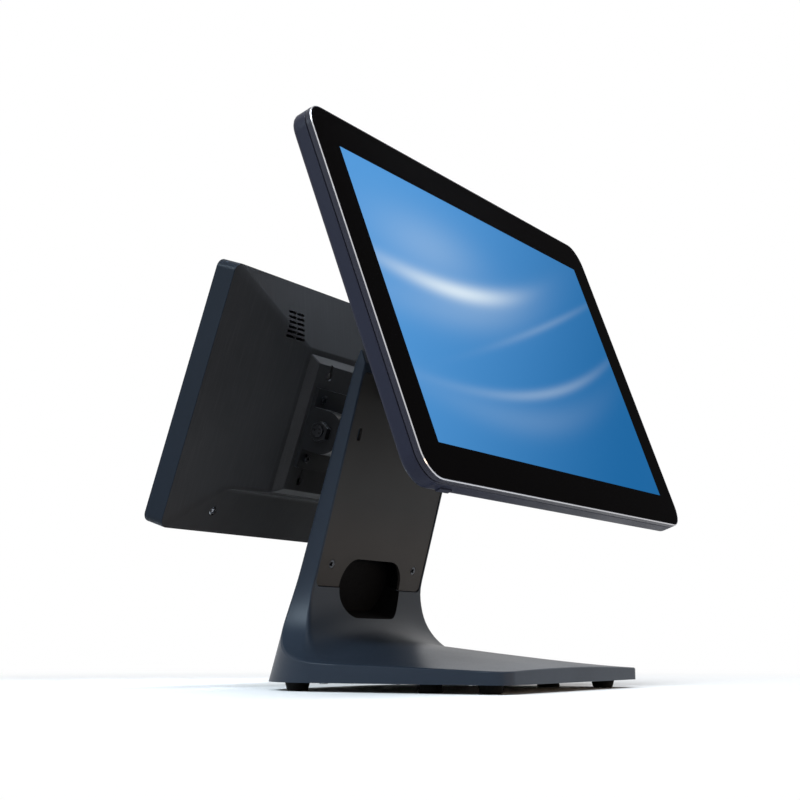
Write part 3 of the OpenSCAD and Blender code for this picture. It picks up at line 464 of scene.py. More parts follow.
def bump(tree, shader, height, strength, distance):
    """Relief of that height on a shader; distance in metres"""
    node = tree.nodes.new("ShaderNodeBump")
    node.inputs["Strength"].default_value = strength
    node.inputs["Distance"].default_value = distance
    tree.links.new(height, node.inputs["Height"])
    tree.links.new(node.outputs[0], shader.inputs["Normal"])


def coated(name, colour, drift, grain, low, high, depth, **sockets):
    """Coat or moulded plastic: a colour that drifts a little over a fine grain"""
    material, tree, shader = new_material(name, **sockets)
    other = [c * drift for c in colour]
    node = put_group(tree, "grain", Scale=grain, Colour_A=tuple(colour), Colour_B=tuple(other),
                     Rough_Low=low, Rough_High=high)
    tree.links.new(node.outputs["Colour"], shader.inputs["Base Color"])
    tree.links.new(node.outputs["Roughness"], shader.inputs["Roughness"])
    bump(tree, shader, node.outputs["Height"], 1.0, depth)
    return material


def metal(name, colour, stretch, low, high, depth, **sockets):
    """Bare metal with brushed or turned lines"""
    material, tree, shader = new_material(name, Metallic=1.0, **sockets)
    node = put_group(tree, "brushed", Stretch=stretch, Rough_Low=low, Rough_High=high)
    tree.links.new(
        blend_colour(tree, node.outputs["Mask"], [c * 0.9 for c in colour], colour),
        shader.inputs["Base Color"])
    tree.links.new(node.outputs["Roughness"], shader.inputs["Roughness"])
    bump(tree, shader, node.outputs["Height"], 1.0, depth)
    return material


def make_ribbon_group():
    """A plain blue picture with soft curved ribbons of light, on -1..1 coordinates"""
    tree, inside, outside = group_nodes(
        "Ribbon picture",
        [("Place", "NodeSocketVector", (0, 0, 0)),
         ("Light", "NodeSocketColor", (0.1, 0.35, 0.75, 1)),
         ("Deep", "NodeSocketColor", (0.01, 0.15, 0.4, 1)),
         ("Shine", "NodeSocketColor", (0.85, 0.95, 1.0, 1))],
        [("Colour", "NodeSocketColor")])
    parts = tree.nodes.new("ShaderNodeSeparateXYZ")
    tree.links.new(inside.outputs["Place"], parts.inputs[0])
    u, v = parts.outputs["X"], parts.outputs["Z"]

    def times(a, b):
        return math_node(tree, "MULTIPLY", a, b)

    def plus(a, b):
        return math_node(tree, "ADD", a, b)

    base = plus(plus(times(u, -0.34), times(v, 0.2)), 0.46)
    colour = blend_colour(
        tree, span(tree, base, 0.0, 1.0, 0.0, 1.0), inside.outputs["Deep"],
        inside.outputs["Light"])
    squared = times(u, u)
    total = None
    # start height, slope, curve, width, strength, where it is brightest, how long
    for start, slope, curve, width, strength, middle, length in (
            (0.34, 0.42, 0.30, 0.07, 0.74, -0.42, 0.5),
            (0.24, 0.50, 0.24, 0.16, 0.16, -0.35, 0.7),
            (0.62, 0.30, 0.12, 0.26, 0.18, -0.55, 0.4),
            (-0.42, 0.36, 0.22, 0.04, 0.22, 0.1, 0.7),
            (-0.62, 0.28, 0.30, 0.12, 0.08, -0.2, 0.8),
            (0.02, 0.60, 0.05, 0.03, 0.12, 0.35, 0.6)):
        line = plus(plus(times(u, slope), times(squared, curve)), start)
        across = times(math_node(tree, "SUBTRACT", v, line), 1 / width)
        along = times(math_node(tree, "SUBTRACT", u, middle), 1 / length)
        power = times(plus(times(across, across), times(along, along)), -1.0)
        ribbon = times(math_node(tree, "POWER", math.e, power), strength)
        total = ribbon if total is None else plus(total, ribbon)
    tree.links.new(
        blend_colour(tree, math_node(tree, "MINIMUM", total, 0.92), colour,
                     inside.outputs["Shine"]),
        outside.inputs["Colour"])
    return tree


def picture(name, width, height, turn, centre, glow):
    """A lit picture behind glass; centre is the lit area's middle in the frame"""
    material, tree, shader = new_material(
        name, Base_Color=(0.002, 0.003, 0.006, 1), Roughness=0.16,
        Specular_IOR_Level=0.001, Emission_Strength=glow)
    away = Matrix.Rotation(turn, 3, "X") @ Vector(centre)
    place = stretched(tree, object_coordinates(tree, turn=turn, shift=tuple(-away)),
                      (2 / width, 0.0, 2 / height))
    node = put_group(tree, "ribbons", Light=(0.093, 0.342, 0.745), Deep=(0.0065, 0.135, 0.37),
                     Shine=(0.82, 0.93, 1.0))
    tree.links.new(place, node.inputs["Place"])
    tree.links.new(node.outputs["Colour"], shader.inputs["Emission Color"])
    return material


def board_finish(name, turn):
    """Green solder mask over faint copper runs"""
    material, tree, shader = new_material(name, Roughness=0.38, Specular_IOR_Level=0.5)
    place = object_coordinates(tree, turn=turn)
    runs = tree.nodes.new("ShaderNodeTexBrick")
    for label, value in (("Scale", 90.0), ("Mortar Size", 0.06), ("Brick Width", 0.7),
                         ("Row Height", 0.16), ("Bias", -0.4)):
        runs.inputs[label].default_value = value
    flat = tree.nodes.new("ShaderNodeMapping")
    flat.inputs["Rotation"].default_value = (math.radians(90), 0, 0)
    tree.links.new(place, flat.inputs["Vector"])
    tree.links.new(flat.outputs[0], runs.inputs["Vector"])
    tree.links.new(
        blend_colour(tree, runs.outputs["Fac"], (0.006, 0.07, 0.028), (0.02, 0.15, 0.06)),
        shader.inputs["Base Color"])
    bump(tree, shader, runs.outputs["Fac"], 0.4, 0.00005)
    return material


def brushed_cover(name, colour):
    """Near-black plastic with faint upright brushing over its grain"""
    material, tree, shader = new_material(name, Specular_IOR_Level=0.04)
    lines = put_group(tree, "brushed", Stretch=(1500.0, 90.0, 30.0), Rough_Low=0.3,
                      Rough_High=0.42)
    grain = put_group(tree, "grain", Scale=1200.0, Colour_A=tuple(colour),
                      Colour_B=tuple(c * 0.85 for c in colour), Rough_Low=0.3, Rough_High=0.45)
    tree.links.new(
        blend_colour(tree, math_node(tree, "MULTIPLY", lines.outputs["Mask"], 0.35),
                     grain.outputs["Colour"], [c * 1.5 for c in colour]),
        shader.inputs["Base Color"])
    tree.links.new(lines.outputs["Roughness"], shader.inputs["Roughness"])
    bump(tree, shader, lines.outputs["Height"], 1.0, 0.00001)
    return material


def make_materials(screens, finish):
    """Every finish of the terminal, by a maker's plain name"""
    steep, lean = math.radians(-MAIN_TILT), math.radians(-GUEST_TILT)
    coated("casting_coat", finish.casting, 0.9, 1300.0, 0.32, 0.4, 0.00002,
           Specular_IOR_Level=0.11)
    # The customer frame: the casting coat darkened to 0.55, painted shade that stands in for the
    # darker light on its band
    coated("guest_frame_shaded_coat", [c * 0.55 for c in finish.casting], 0.9, 1300.0, 0.36, 0.44,
           0.00002, Specular_IOR_Level=0.06)
    coated("cover_coat", finish.cover, 0.92, 1500.0, 0.34, 0.42, 0.000015,
           Specular_IOR_Level=0.08)
    coated("housing_plastic", finish.housing, 0.92, 1100.0, 0.36, 0.48, 0.00002,
           Specular_IOR_Level=0.08)
    coated("inner_plastic", (0.012, 0.012, 0.013), 0.8, 800.0, 0.5, 0.65, 0.00002,
           Specular_IOR_Level=0.2)
    # Near-black finish for the inside of the cable channel and hole: painted shade, a dark sheet
    # that stands in for the dark of the deep hole
    coated("channel_painted_shade", (0.0022, 0.0022, 0.0026), 0.8, 700.0, 0.7, 0.85, 0.00003,
           Specular_IOR_Level=0.06)
    coated("foot_rubber", (0.006, 0.006, 0.006), 0.8, 900.0, 0.6, 0.8, 0.00004,
           Specular_IOR_Level=0.1)
    coated("chip_black", (0.012, 0.012, 0.013), 1.3, 900.0, 0.4, 0.55, 0.00001,
           Specular_IOR_Level=0.25)
    coated("socket_black", (0.007, 0.007, 0.008), 0.8, 900.0, 0.35, 0.5, 0.00001,
           Specular_IOR_Level=0.2)
    coated("screen_glass", (0.0022, 0.002, 0.0021), 0.95, 30.0, 0.05, 0.085, 0.0,
           Specular_IOR_Level=0.0003)
    brushed_cover("guest_cover_plastic", finish.guest_cover)
    metal("polished_trim", tuple(finish.trim), (300.0, 300.0, 300.0), 0.1, 0.17, 0.0000015)
    metal("zinc_sheet", (0.5, 0.51, 0.53), (60.0, 900.0, 900.0), 0.28, 0.42, 0.000006)
    metal("zinc_screw", (0.62, 0.63, 0.65), (500.0, 500.0, 500.0), 0.2, 0.32, 0.000004)
    metal("black_zinc", (0.055, 0.058, 0.065), (500.0, 500.0, 500.0), 0.25, 0.38, 0.000004)
    coated("hinge_black", (0.012, 0.0125, 0.014), 0.9, 1000.0, 0.3, 0.4, 0.00002,
           Specular_IOR_Level=0.14)
    coated("frame_plastic", finish.frame, 0.94, 1100.0, 0.3, 0.4, 0.000015,
           Specular_IOR_Level=0.1)
    metal("shaft_steel", (0.5, 0.5, 0.52), (120.0, 1600.0, 1600.0), 0.14, 0.24, 0.000003)
    metal("fin_aluminium", (0.72, 0.73, 0.75), (900.0, 900.0, 60.0), 0.26, 0.4, 0.000005)
    metal("port_shell", (0.6, 0.6, 0.62), (300.0, 300.0, 900.0), 0.16, 0.26, 0.000003)
    board_finish("board_green", steep)
    board_finish("guest_board_green", lean)
    drop = (screens.border_top - screens.border_bottom) / 2
    picture("main_picture", screens.lit_width, screens.lit_height, steep,
            MAIN @ Vector((0, 0, -drop)), screens.glow)
    picture("guest_picture", screens.guest_lit_width, screens.guest_lit_height, lean,
            GUEST @ Vector((0, 15.5 * MM, 0)), screens.glow)


# ---------------------------------------------------------------- repeated parts


def new_tree(name, inputs):
    """A Geometry Nodes tree that takes and gives one geometry, with named inputs"""
    tree = bpy.data.node_groups.new(name, "GeometryNodeTree")
    tree.interface.new_socket("Geometry", in_out="INPUT", socket_type="NodeSocketGeometry")
    for label, kind, value in inputs:
        socket = tree.interface.new_socket(label, in_out="INPUT", socket_type=kind)
        if value is not None:
            socket.default_value = value
    tree.interface.new_socket("Geometry", in_out="OUTPUT", socket_type="NodeSocketGeometry")
    return tree, tree.nodes.new("NodeGroupInput").outputs, tree.nodes.new("NodeGroupOutput")


def put(tree, kind, links=(), **settings):
    """A node with its settings, its inputs linked or filled: (input, value or socket)"""
    node = tree.nodes.new(kind)
    for label, value in settings.items():
        setattr(node, label, value)
    for label, value in links:
        socket = node.inputs[label]
        if isinstance(value, bpy.types.NodeSocket):
            tree.links.new(value, socket)
        else:
            socket.default_value = value
    return node.outputs[0]


def numbers(tree, operation, a, b):
    """A sum or the like inside a Geometry Nodes tree"""
    return put(tree, "ShaderNodeMath", ((0, a), (1, b)), operation=operation)


def finish_tree(tree, geometry, material, last):
    """Every tree ends alike: instances made real, then the material set"""
    real = put(tree, "GeometryNodeRealizeInstances", (("Geometry", geometry),))
    done = put(tree, "GeometryNodeSetMaterial", (("Geometry", real), ("Material", material)))
    tree.links.new(done, last.inputs["Geometry"])
    return tree


def run_tree(obj, tree, values):
    """Give a piece the tree's result, with its inputs set first, as a plain mesh"""
    modifier = obj.modifiers.new(tree.name, "NODES")
    modifier.node_group = tree
    sockets = {s.name: s.identifier for s in tree.interface.items_tree if s.in_out == "INPUT"}
    for label, value in values.items():
        modifier[sockets[label]] = value
    return settle(obj)


def outward(obj):
    """Turn every face of a closed piece outward"""
    bm = bmesh.new()
    bm.from_mesh(obj.data)
    bmesh.ops.remove_doubles(bm, verts=bm.verts, dist=1e-7)
    bmesh.ops.recalc_face_normals(bm, faces=bm.faces)
    bm.to_mesh(obj.data)
    bm.free()
    return obj


def grown(tree, mesh, top, rise, scale):
    """Lift the top face of a mesh by rise, then scale it; gives the mesh and its top"""
    offset = put(tree, "ShaderNodeCombineXYZ", (("Z", rise),))
    extrude = tree.nodes.new("GeometryNodeExtrudeMesh")
    extrude.mode = "FACES"
    extrude.inputs["Individual"].default_value = False
    tree.links.new(mesh, extrude.inputs["Mesh"])
    tree.links.new(offset, extrude.inputs["Offset"])
    if top is not None:
        tree.links.new(top, extrude.inputs["Selection"])
    scaled = put(tree, "GeometryNodeScaleElements", (
        ("Geometry", extrude.outputs["Mesh"]), ("Selection", extrude.outputs["Top"]),
        ("Scale", scale)))
    return scaled, extrude.outputs["Top"]


def closed_up(tree, face, solid):
    """Close the open foot of a grown solid with the face it grew from"""
    foot = put(tree, "GeometryNodeFlipFaces", (("Mesh", face),))
    joined = tree.nodes.new("GeometryNodeJoinGeometry")
    tree.links.new(foot, joined.inputs[0])
    tree.links.new(solid, joined.inputs[0])
    return put(tree, "GeometryNodeMergeByDistance",
               (("Geometry", joined.outputs[0]), ("Distance", 1e-6)))


def make_screw_tree():
    """Socket screws on the points of the piece, heads along the turned Z"""
    tree, given, last = new_tree("Screws", [
        ("Head Radius", "NodeSocketFloat", 0.0029), ("Head Height", "NodeSocketFloat", 0.0012),
        ("Head Edge", "NodeSocketFloat", 0.0003), ("Cone", "NodeSocketFloat", 0.0),
        ("Shank Radius", "NodeSocketFloat", 0.00145), ("Shank Length", "NodeSocketFloat", 0.006),
        ("Socket Radius", "NodeSocketFloat", 0.0012), ("Socket Depth", "NodeSocketFloat", 0.0006),
        ("Turn", "NodeSocketVector", (0, 0, 0)), ("Material", "NodeSocketMaterial", None)])
    start = put(tree, "GeometryNodeMeshCircle",
                (("Vertices", 36), ("Radius", given["Shank Radius"])), fill_type="NGON")
    under = numbers(tree, "ADD", given["Shank Length"], given["Head Height"])
    place = put(tree, "ShaderNodeCombineXYZ", (("Z", numbers(tree, "MULTIPLY", under, -1.0)),))
    start = put(tree, "GeometryNodeTransform", (("Geometry", start), ("Translation", place)))
    widen = numbers(tree, "DIVIDE", given["Head Radius"], given["Shank Radius"])
    above = numbers(tree, "SUBTRACT", 1.0, given["Cone"])
    straight = numbers(tree, "SUBTRACT", numbers(tree, "MULTIPLY", given["Head Height"], above),
                       given["Head Edge"])
    ease = numbers(tree, "DIVIDE", numbers(tree, "SUBTRACT", given["Head Radius"],
                                           given["Head Edge"]), given["Head Radius"])
    cone = numbers(tree, "MULTIPLY", given["Head Height"], given["Cone"])
    mesh, top = grown(tree, start, None, given["Shank Length"], 1.0)
    mesh, top = grown(tree, mesh, top, cone, widen)
    mesh, top = grown(tree, mesh, top, straight, 1.0)
    mesh, top = grown(tree, mesh, top, given["Head Edge"], ease)
    screw = closed_up(tree, start, mesh)
    socket = put(tree, "GeometryNodeMeshCylinder", (
        ("Vertices", 6), ("Radius", given["Socket Radius"]),
        ("Depth", numbers(tree, "MULTIPLY", given["Socket Depth"], 2.0))))
    cut = tree.nodes.new("GeometryNodeMeshBoolean")
    cut.operation, cut.solver = "DIFFERENCE", "EXACT"
    tree.links.new(screw, cut.inputs["Mesh 1"])
    tree.links.new(socket, cut.inputs["Mesh 2"])
    points = put(tree, "GeometryNodeMeshToPoints", (("Mesh", given["Geometry"]),))
    turn = put(tree, "FunctionNodeEulerToRotation", (("Euler", given["Turn"]),))
    placed = put(tree, "GeometryNodeInstanceOnPoints", (
        ("Points", points), ("Instance", cut.outputs["Mesh"]), ("Rotation", turn)))
    return finish_tree(tree, placed, given["Material"], last)


def make_slot_tree():
    """Rows and columns of round-ended slots cut through the piece"""
    tree, given, last = new_tree("Slots", [
        ("Columns", "NodeSocketInt", 5), ("Rows", "NodeSocketInt", 6),
        ("Column Pitch", "NodeSocketFloat", 0.034), ("Row Pitch", "NodeSocketFloat", 0.005),
        ("Slot Width", "NodeSocketFloat", 0.024), ("Slot Height", "NodeSocketFloat", 0.0022),
        ("Corner", "NodeSocketFloat", 0.001), ("Depth", "NodeSocketFloat", 0.006),
        ("Place", "NodeSocketVector", (0, 0, 0)), ("Turn", "NodeSocketVector", (0, 0, 0)),
        ("Material", "NodeSocketMaterial", None)])
    grid = put(tree, "GeometryNodeMeshGrid", (
        ("Size X", numbers(tree, "MULTIPLY", given["Column Pitch"],
                           numbers(tree, "SUBTRACT", given["Columns"], 1.0))),
        ("Size Y", numbers(tree, "MULTIPLY", given["Row Pitch"],
                           numbers(tree, "SUBTRACT", given["Rows"], 1.0))),
        ("Vertices X", given["Columns"]), ("Vertices Y", given["Rows"])))
    outline = put(tree, "GeometryNodeCurvePrimitiveQuadrilateral", (
        ("Width", given["Slot Width"]), ("Height", given["Slot Height"])))
    outline = put(tree, "GeometryNodeFilletCurve", (
        ("Curve", outline), ("Radius", given["Corner"]), ("Count", 5)), mode="POLY")
    face = put(tree, "GeometryNodeFillCurve", (("Curve", outline),), mode="NGONS")
    low = put(tree, "ShaderNodeCombineXYZ",
              (("Z", numbers(tree, "MULTIPLY", given["Depth"], -0.5)),))
    face = put(tree, "GeometryNodeTransform", (("Geometry", face), ("Translation", low)))
    mesh, _ = grown(tree, face, None, given["Depth"], 1.0)
    slot = closed_up(tree, face, mesh)
    placed = put(tree, "GeometryNodeInstanceOnPoints", (("Points", grid), ("Instance", slot)))
    placed = put(tree, "GeometryNodeRealizeInstances", (("Geometry", placed),))
    placed = put(tree, "GeometryNodeTransform", (
        ("Geometry", placed), ("Translation", given["Place"]), ("Rotation", given["Turn"])))
    cut = tree.nodes.new("GeometryNodeMeshBoolean")
    cut.operation, cut.solver = "DIFFERENCE", "EXACT"
    tree.links.new(given["Geometry"], cut.inputs["Mesh 1"])
    tree.links.new(placed, cut.inputs["Mesh 2"])
    return finish_tree(tree, cut.outputs["Mesh"], given["Material"], last)


def make_fin_tree():
    """A cooler: a base block under a row of upright fins"""
    tree, given, last = new_tree("Cooler fins", [
        ("Fins", "NodeSocketInt", 15), ("Fin Pitch", "NodeSocketFloat", 0.0063),
        ("Fin Size", "NodeSocketVector", (0.0016, 0.0088, 0.066)),
        ("Base Size", "NodeSocketVector", (0.09, 0.004, 0.066)),
        ("Place", "NodeSocketVector", (0, 0, 0)), ("Turn", "NodeSocketVector", (0, 0, 0)),
        ("Material", "NodeSocketMaterial", None)])
    tall = put(tree, "ShaderNodeSeparateXYZ", ((0, given["Fin Size"]),)).node.outputs["Y"]
    thick = put(tree, "ShaderNodeSeparateXYZ", ((0, given["Base Size"]),)).node.outputs["Y"]
    reach = numbers(tree, "MULTIPLY", given["Fin Pitch"],
                    numbers(tree, "SUBTRACT", given["Fins"], 1.0))
    lift = numbers(tree, "MULTIPLY", numbers(tree, "ADD", tall, thick), 0.5)
    start = put(tree, "ShaderNodeCombineXYZ", (
        ("X", numbers(tree, "MULTIPLY", reach, -0.5)),
        ("Y", numbers(tree, "SUBTRACT", lift, 0.0004))))
    step = put(tree, "ShaderNodeCombineXYZ", (("X", given["Fin Pitch"]),))
    line = put(tree, "GeometryNodeMeshLine", (
        ("Count", given["Fins"]), ("Start Location", start), ("Offset", step)))
    fin = put(tree, "GeometryNodeMeshCube", (("Size", given["Fin Size"]),))
    base = put(tree, "GeometryNodeMeshCube", (("Size", given["Base Size"]),))
    fins = put(tree, "GeometryNodeInstanceOnPoints", (("Points", line), ("Instance", fin)))
    fins = put(tree, "GeometryNodeRealizeInstances", (("Geometry", fins),))
    both = tree.nodes.new("GeometryNodeMeshBoolean")
    both.operation, both.solver = "UNION", "EXACT"
    for part in (base, fins):
        tree.links.new(part, both.inputs["Mesh 2"])
    placed = put(tree, "GeometryNodeTransform", (
        ("Geometry", both.outputs["Mesh"]), ("Translation", given["Place"]),
        ("Rotation", given["Turn"])))
    return finish_tree(tree, placed, given["Material"], last)


def make_feet_tree():
    """Tapered round feet on the points of the piece, standing down from them"""
    tree, given, last = new_tree("Feet", [
        ("Top Radius", "NodeSocketFloat", 0.008), ("Foot Radius", "NodeSocketFloat", 0.00675),
        ("Height", "NodeSocketFloat", 0.0055), ("Edge", "NodeSocketFloat", 0.0007),
        ("Material", "NodeSocketMaterial", None)])
    face = put(tree, "GeometryNodeMeshCircle",
               (("Vertices", 48), ("Radius", given["Top Radius"])), fill_type="NGON")
    down = numbers(tree, "MULTIPLY", numbers(tree, "SUBTRACT", given["Height"], given["Edge"]),
                   -1.0)
    taper = numbers(tree, "DIVIDE", given["Foot Radius"], given["Top Radius"])
    ease = numbers(tree, "DIVIDE", numbers(tree, "SUBTRACT", given["Foot Radius"],
                                           given["Edge"]), given["Foot Radius"])
    mesh, top = grown(tree, face, None, down, taper)
    mesh, top = grown(tree, mesh, top, numbers(tree, "MULTIPLY", given["Edge"], -1.0), ease)
    foot = closed_up(tree, face, mesh)
    points = put(tree, "GeometryNodeMeshToPoints", (("Mesh", given["Geometry"]),))
    placed = put(tree, "GeometryNodeInstanceOnPoints", (("Points", points), ("Instance", foot)))
    return finish_tree(tree, placed, given["Material"], last)


TREES = {}


def shared_tree(name):
    """A Geometry Nodes tree, built the first time it is wanted"""
    makers = {"screws": make_screw_tree, "slots": make_slot_tree, "fins": make_fin_tree,
              "feet": make_feet_tree}
    if name not in TREES:
        TREES[name] = makers[name]()
    return TREES[name]


def on_points(name, tree, places, place, body, node, finish, angle=30, **values):
    """A piece that a tree makes on these points, given in mm in their own frame"""
    mesh = bpy.data.meshes.new(name)
    mesh.from_pydata([place @ (Vector(p) * MM) for p in places], [], [])
    obj = new_object(name, mesh)
    values["Material"] = MATERIALS[finish]
    run_tree(obj, shared_tree(tree), values)
    return place_piece(outward(obj), body, [node], slot_of(node), MATERIALS[finish], angle=angle)


def screws(name, node, places, place, turn, finish, head, shank, socket, cone=0.0):
    """Screws of one kind; head and shank are (radius, length), socket (radius, depth), in mm"""
    return on_points(
        name, "screws", places, place, body_of(node), node, finish, **{
            "Head Radius": head[0] * MM, "Head Height": head[1] * MM,
            "Head Edge": min(0.35, head[1] * 0.25) * MM, "Cone": cone,
            "Shank Radius": shank[0] * MM, "Shank Length": shank[1] * MM,
            "Socket Radius": socket[0] * MM, "Socket Depth": socket[1] * MM,
            "Turn": (math.radians(turn), 0.0, 0.0)})


# ---------------------------------------------------------------- pieces


# Groups of four holes, in mm: half width, half height, height of their middle
HOUSING_SCREWS = (167.6, 87.75, 0.0)
BOARD_SCREWS = (89, 53, -25)
LEAF_BOLTS = (44, 18, -16)
COLUMN_BOLTS = (22, 11, 192.98)
GUEST_LEAF_SCREWS = (41, 21, -3.6)
GUEST_KEYHOLES = (37.5, 37.5, -3.6)


def corners(group, y=0):
    """The four points of a group of holes, at depth y"""
    x, z, middle = group
    return [(i * x, y, middle + j * z) for i in (-1, 1) for j in (-1, 1)]


def boolean(obj, other, operation):
    """Join another object to this one, or cut it away, and drop it"""
    modifier = obj.modifiers.new(operation.lower(), "BOOLEAN")
    modifier.operation = operation
    modifier.solver = "EXACT"
    modifier.object = other
    settle(obj)
    bpy.data.objects.remove(other)
    return obj


def box_mm(bm, x0, x1, y0, y1, z0, z1):
    """A box between these corners, in mm"""
    loft(bm, [[Vector((x, y, z)) for x, z in ((x0, z0), (x1, z0), (x1, z1), (x0, z1))]
              for y in (y0, y1)])


def rod_mm(bm, x, z, radius, y0, y1, segments=32):
    """A rod along Y, in mm"""
    loft(bm, [[Vector((x + radius * math.cos(math.tau * k / segments), y,
                       z + radius * math.sin(math.tau * k / segments)))
               for k in range(segments)] for y in (y0, y1)])


def lit_glass(name, place, size, radius, depths, picture_size, picture_z):
    """A glass with a black border and its lit picture; depths run from front to rear"""
    front, rear = depths
    turn = 1 if rear > front else -1
    (w, h), edge = size, 0.22
    bm = bmesh.new()
    rings = loft(bm, [
        loop(w, h, radius, rear),
        loop(w, h, radius, front + turn * edge),
        loop(w - 0.6 * edge, h - 0.6 * edge, radius - 0.3 * edge, front + turn * 0.3 * edge),
        loop(w - 2 * edge, h - 2 * edge, radius - edge, front),
        loop(*picture_size, 0.3, front, picture_z)], end=False)
    bm.faces.new(rings[-1]).material_index = 1
    return new_piece(name, bm, place)


def build_main_front(screens, finish):
    """Main glass, its trim and the front frame"""
    lit_w, lit_h = screens.lit_width / MM, screens.lit_height / MM
    w = lit_w + 2 * screens.border_side / MM
    h = lit_h + (screens.border_top + screens.border_bottom) / MM
    drop = (screens.border_top - screens.border_bottom) / 2 / MM
    glass = lit_glass("main_glass", MAIN, (w, h), 16, (0.0, 1.8), (lit_w, lit_h), -drop)
    place_piece(glass, "main_screen", ["touch_glass"], "touch_glass",
                MATERIALS["screen_glass"], MATERIALS["main_picture"])
    bm = bmesh.new()
    rim, cut = 1.1, 0.5
    rings = loft(bm, [
        loop(w + 0.3, h + 0.3, 16.15, 1.8), loop(w + 0.3, h + 0.3, 16.15, 0.1),
        loop(w + 0.5, h + 0.5, 16.25, 0.0),
        loop(w + 2 * (rim - cut), h + 2 * (rim - cut), 17.1 - cut, 0.0),
        loop(w + 2 * rim, h + 2 * rim, 17.1, cut), loop(w + 2 * rim, h + 2 * rim, 17.1, 1.8)],
        closed=True)
    edge = set(rings[3] + rings[4])
    for face in bm.faces:
        face.material_index = 1 if edge.issuperset(face.verts) else 0
    place_piece(new_piece("glass_trim", bm, MAIN), "main_screen", ["trim_ring"],
                slot_of("trim_ring"), MATERIALS["frame_plastic"], MATERIALS["polished_trim"])
    eased("front_frame", finish.sheet_edge, MATERIALS["frame_plastic"], name="front_bezel")


def bay_loop(inset, y, radius=2.5):
    """Outline of the raised bay at depth y; its sides slope in towards the rear"""
    slope = 8 * (y - 13.6) / 24.4
    return loop(240 - 2 * slope - 2 * inset, 150 - 2 * inset, radius, y, -12, steps=5)


# The main housing, in mm: width, height and corner; and each port's middle, width and height
HOUSING = (394.8, 242.2, 17.1)
PORT_WINDOWS = ((-78, 11, 11), (-57, 16, 13.5), (-37, 13.2, 15.6), (-20, 13.2, 15.6),
                (1, 15, 5.6), (27, 30.8, 12.5), (62, 30.8, 12.5))


def build_main_rear(screens):
    """Rear housing with its bay, vents, speaker slots and port windows"""
    w, h, r = HOUSING
    edge = screens.rear_edge / MM
    bm = bmesh.new()
    loft(bm, [
        loop(w - 4, h - 4, r - 2, 12.6), loop(w - 4, h - 4, r - 2, 4.6),
        loop(w - 0.6, h - 0.6, r - 0.3, 4.6), loop(w, h, r, 4.9),
        *rounded(w, h, r, 14.6 - edge, edge)])
    shell = new_piece("main_rear_housing", bm, MAIN)
    bm = bmesh.new()
    loft(bm, [bay_loop(0, 13.0), bay_loop(0, 36.6), bay_loop(0.4, 37.6, 2.3),
              bay_loop(1.4, 38.0, 1.6)])
    boolean(shell, new_piece("bay", bm, MAIN), "UNION")
    bm = bmesh.new()
    loft(bm, [bay_loop(2, 11.6), bay_loop(2, 36.0)])
    boolean(shell, new_piece("bay_inside", bm, MAIN), "DIFFERENCE")
    bm = bmesh.new()
    for x, _, z in corners(HOUSING_SCREWS):
        rod_mm(bm, x, z, 4, 9.0, 13.0)
    boolean(shell, new_piece("bosses", bm, MAIN), "UNION")
    cuts = bmesh.new()
    for x, _, z in corners(HOUSING_SCREWS):
        rod_mm(cuts, x, z, 1.7, 8.0, 13.6)
        rod_mm(cuts, x, z, 3.2, 13.2, 15.6)
    for x, _, z in corners(LEAF_BOLTS):
        rod_mm(cuts, x, z, 2.75, 34, 40)
    for x, width, height in PORT_WINDOWS:
        box_mm(cuts, x - width / 2 - 0.15, x + width / 2 + 0.15, 15.45, 15.75 + height,
               -88.5, -84.5)
    box_mm(cuts, -170.7, -156.1, 8.5, 12.5, -125.0, -117.0)
    boolean(shell, new_piece("openings", cuts, MAIN), "DIFFERENCE")
    turn = (math.radians(MAIN_REAR), 0.0, 0.0)
    plastic = MATERIALS["housing_plastic"]
    run_tree(shell, shared_tree("slots"), {
        "Columns": 5, "Rows": 6, "Column Pitch": 34 * MM, "Row Pitch": 5 * MM,
        "Slot Width": 24 * MM, "Slot Height": 2.2 * MM, "Corner": 1.05 * MM, "Depth": 6 * MM,
        "Place": MAIN @ (Vector((0, 37, 22.5)) * MM), "Turn": turn, "Material": plastic})
    for side in (-1, 1):
        run_tree(shell, shared_tree("slots"), {
            "Columns": 9, "Rows": 1, "Column Pitch": 4 * MM, "Row Pitch": 0.0,
            "Slot Width": 1.8 * MM, "Slot Height": 16 * MM, "Corner": 0.85 * MM,
            "Depth": 5 * MM, "Place": MAIN @ (Vector((side * 135.4, 14.2, -91.1)) * MM),
            "Turn": turn, "Material": plastic})
    place_piece(outward(shell), "main_screen", ["rear_housing"], slot_of("rear_housing"),
                plastic, angle=24)
    screws("housing_screw_set", "housing_screws", corners(HOUSING_SCREWS, 14.5), MAIN, MAIN_REAR,
           "black_zinc", (2.9, 1.2), (1.5, 5.2), (1.2, 0.6))


# Pieces that stay as built inside, and the finish of each
INSIDE = {
    "lcd_panel": "chip_black", "backlight_tray": "zinc_sheet", "chassis_sheet": "zinc_sheet",
    "hinge_mount_frame": "zinc_sheet", "mainboard": "board_green",
    "board_standoffs": "zinc_screw", "processor": "chip_black", "memory_slot": "socket_black",
    "memory_module": "board_green", "storage_drive": "zinc_sheet", "speakers": "chip_black",
    "touch_controller": "board_green", "power_switch": "chip_black",
    "customer_lcd": "chip_black", "customer_backlight": "zinc_sheet",
    "customer_chassis": "zinc_sheet", "customer_board": "guest_board_green",
    "customer_standoffs": "zinc_screw",
}


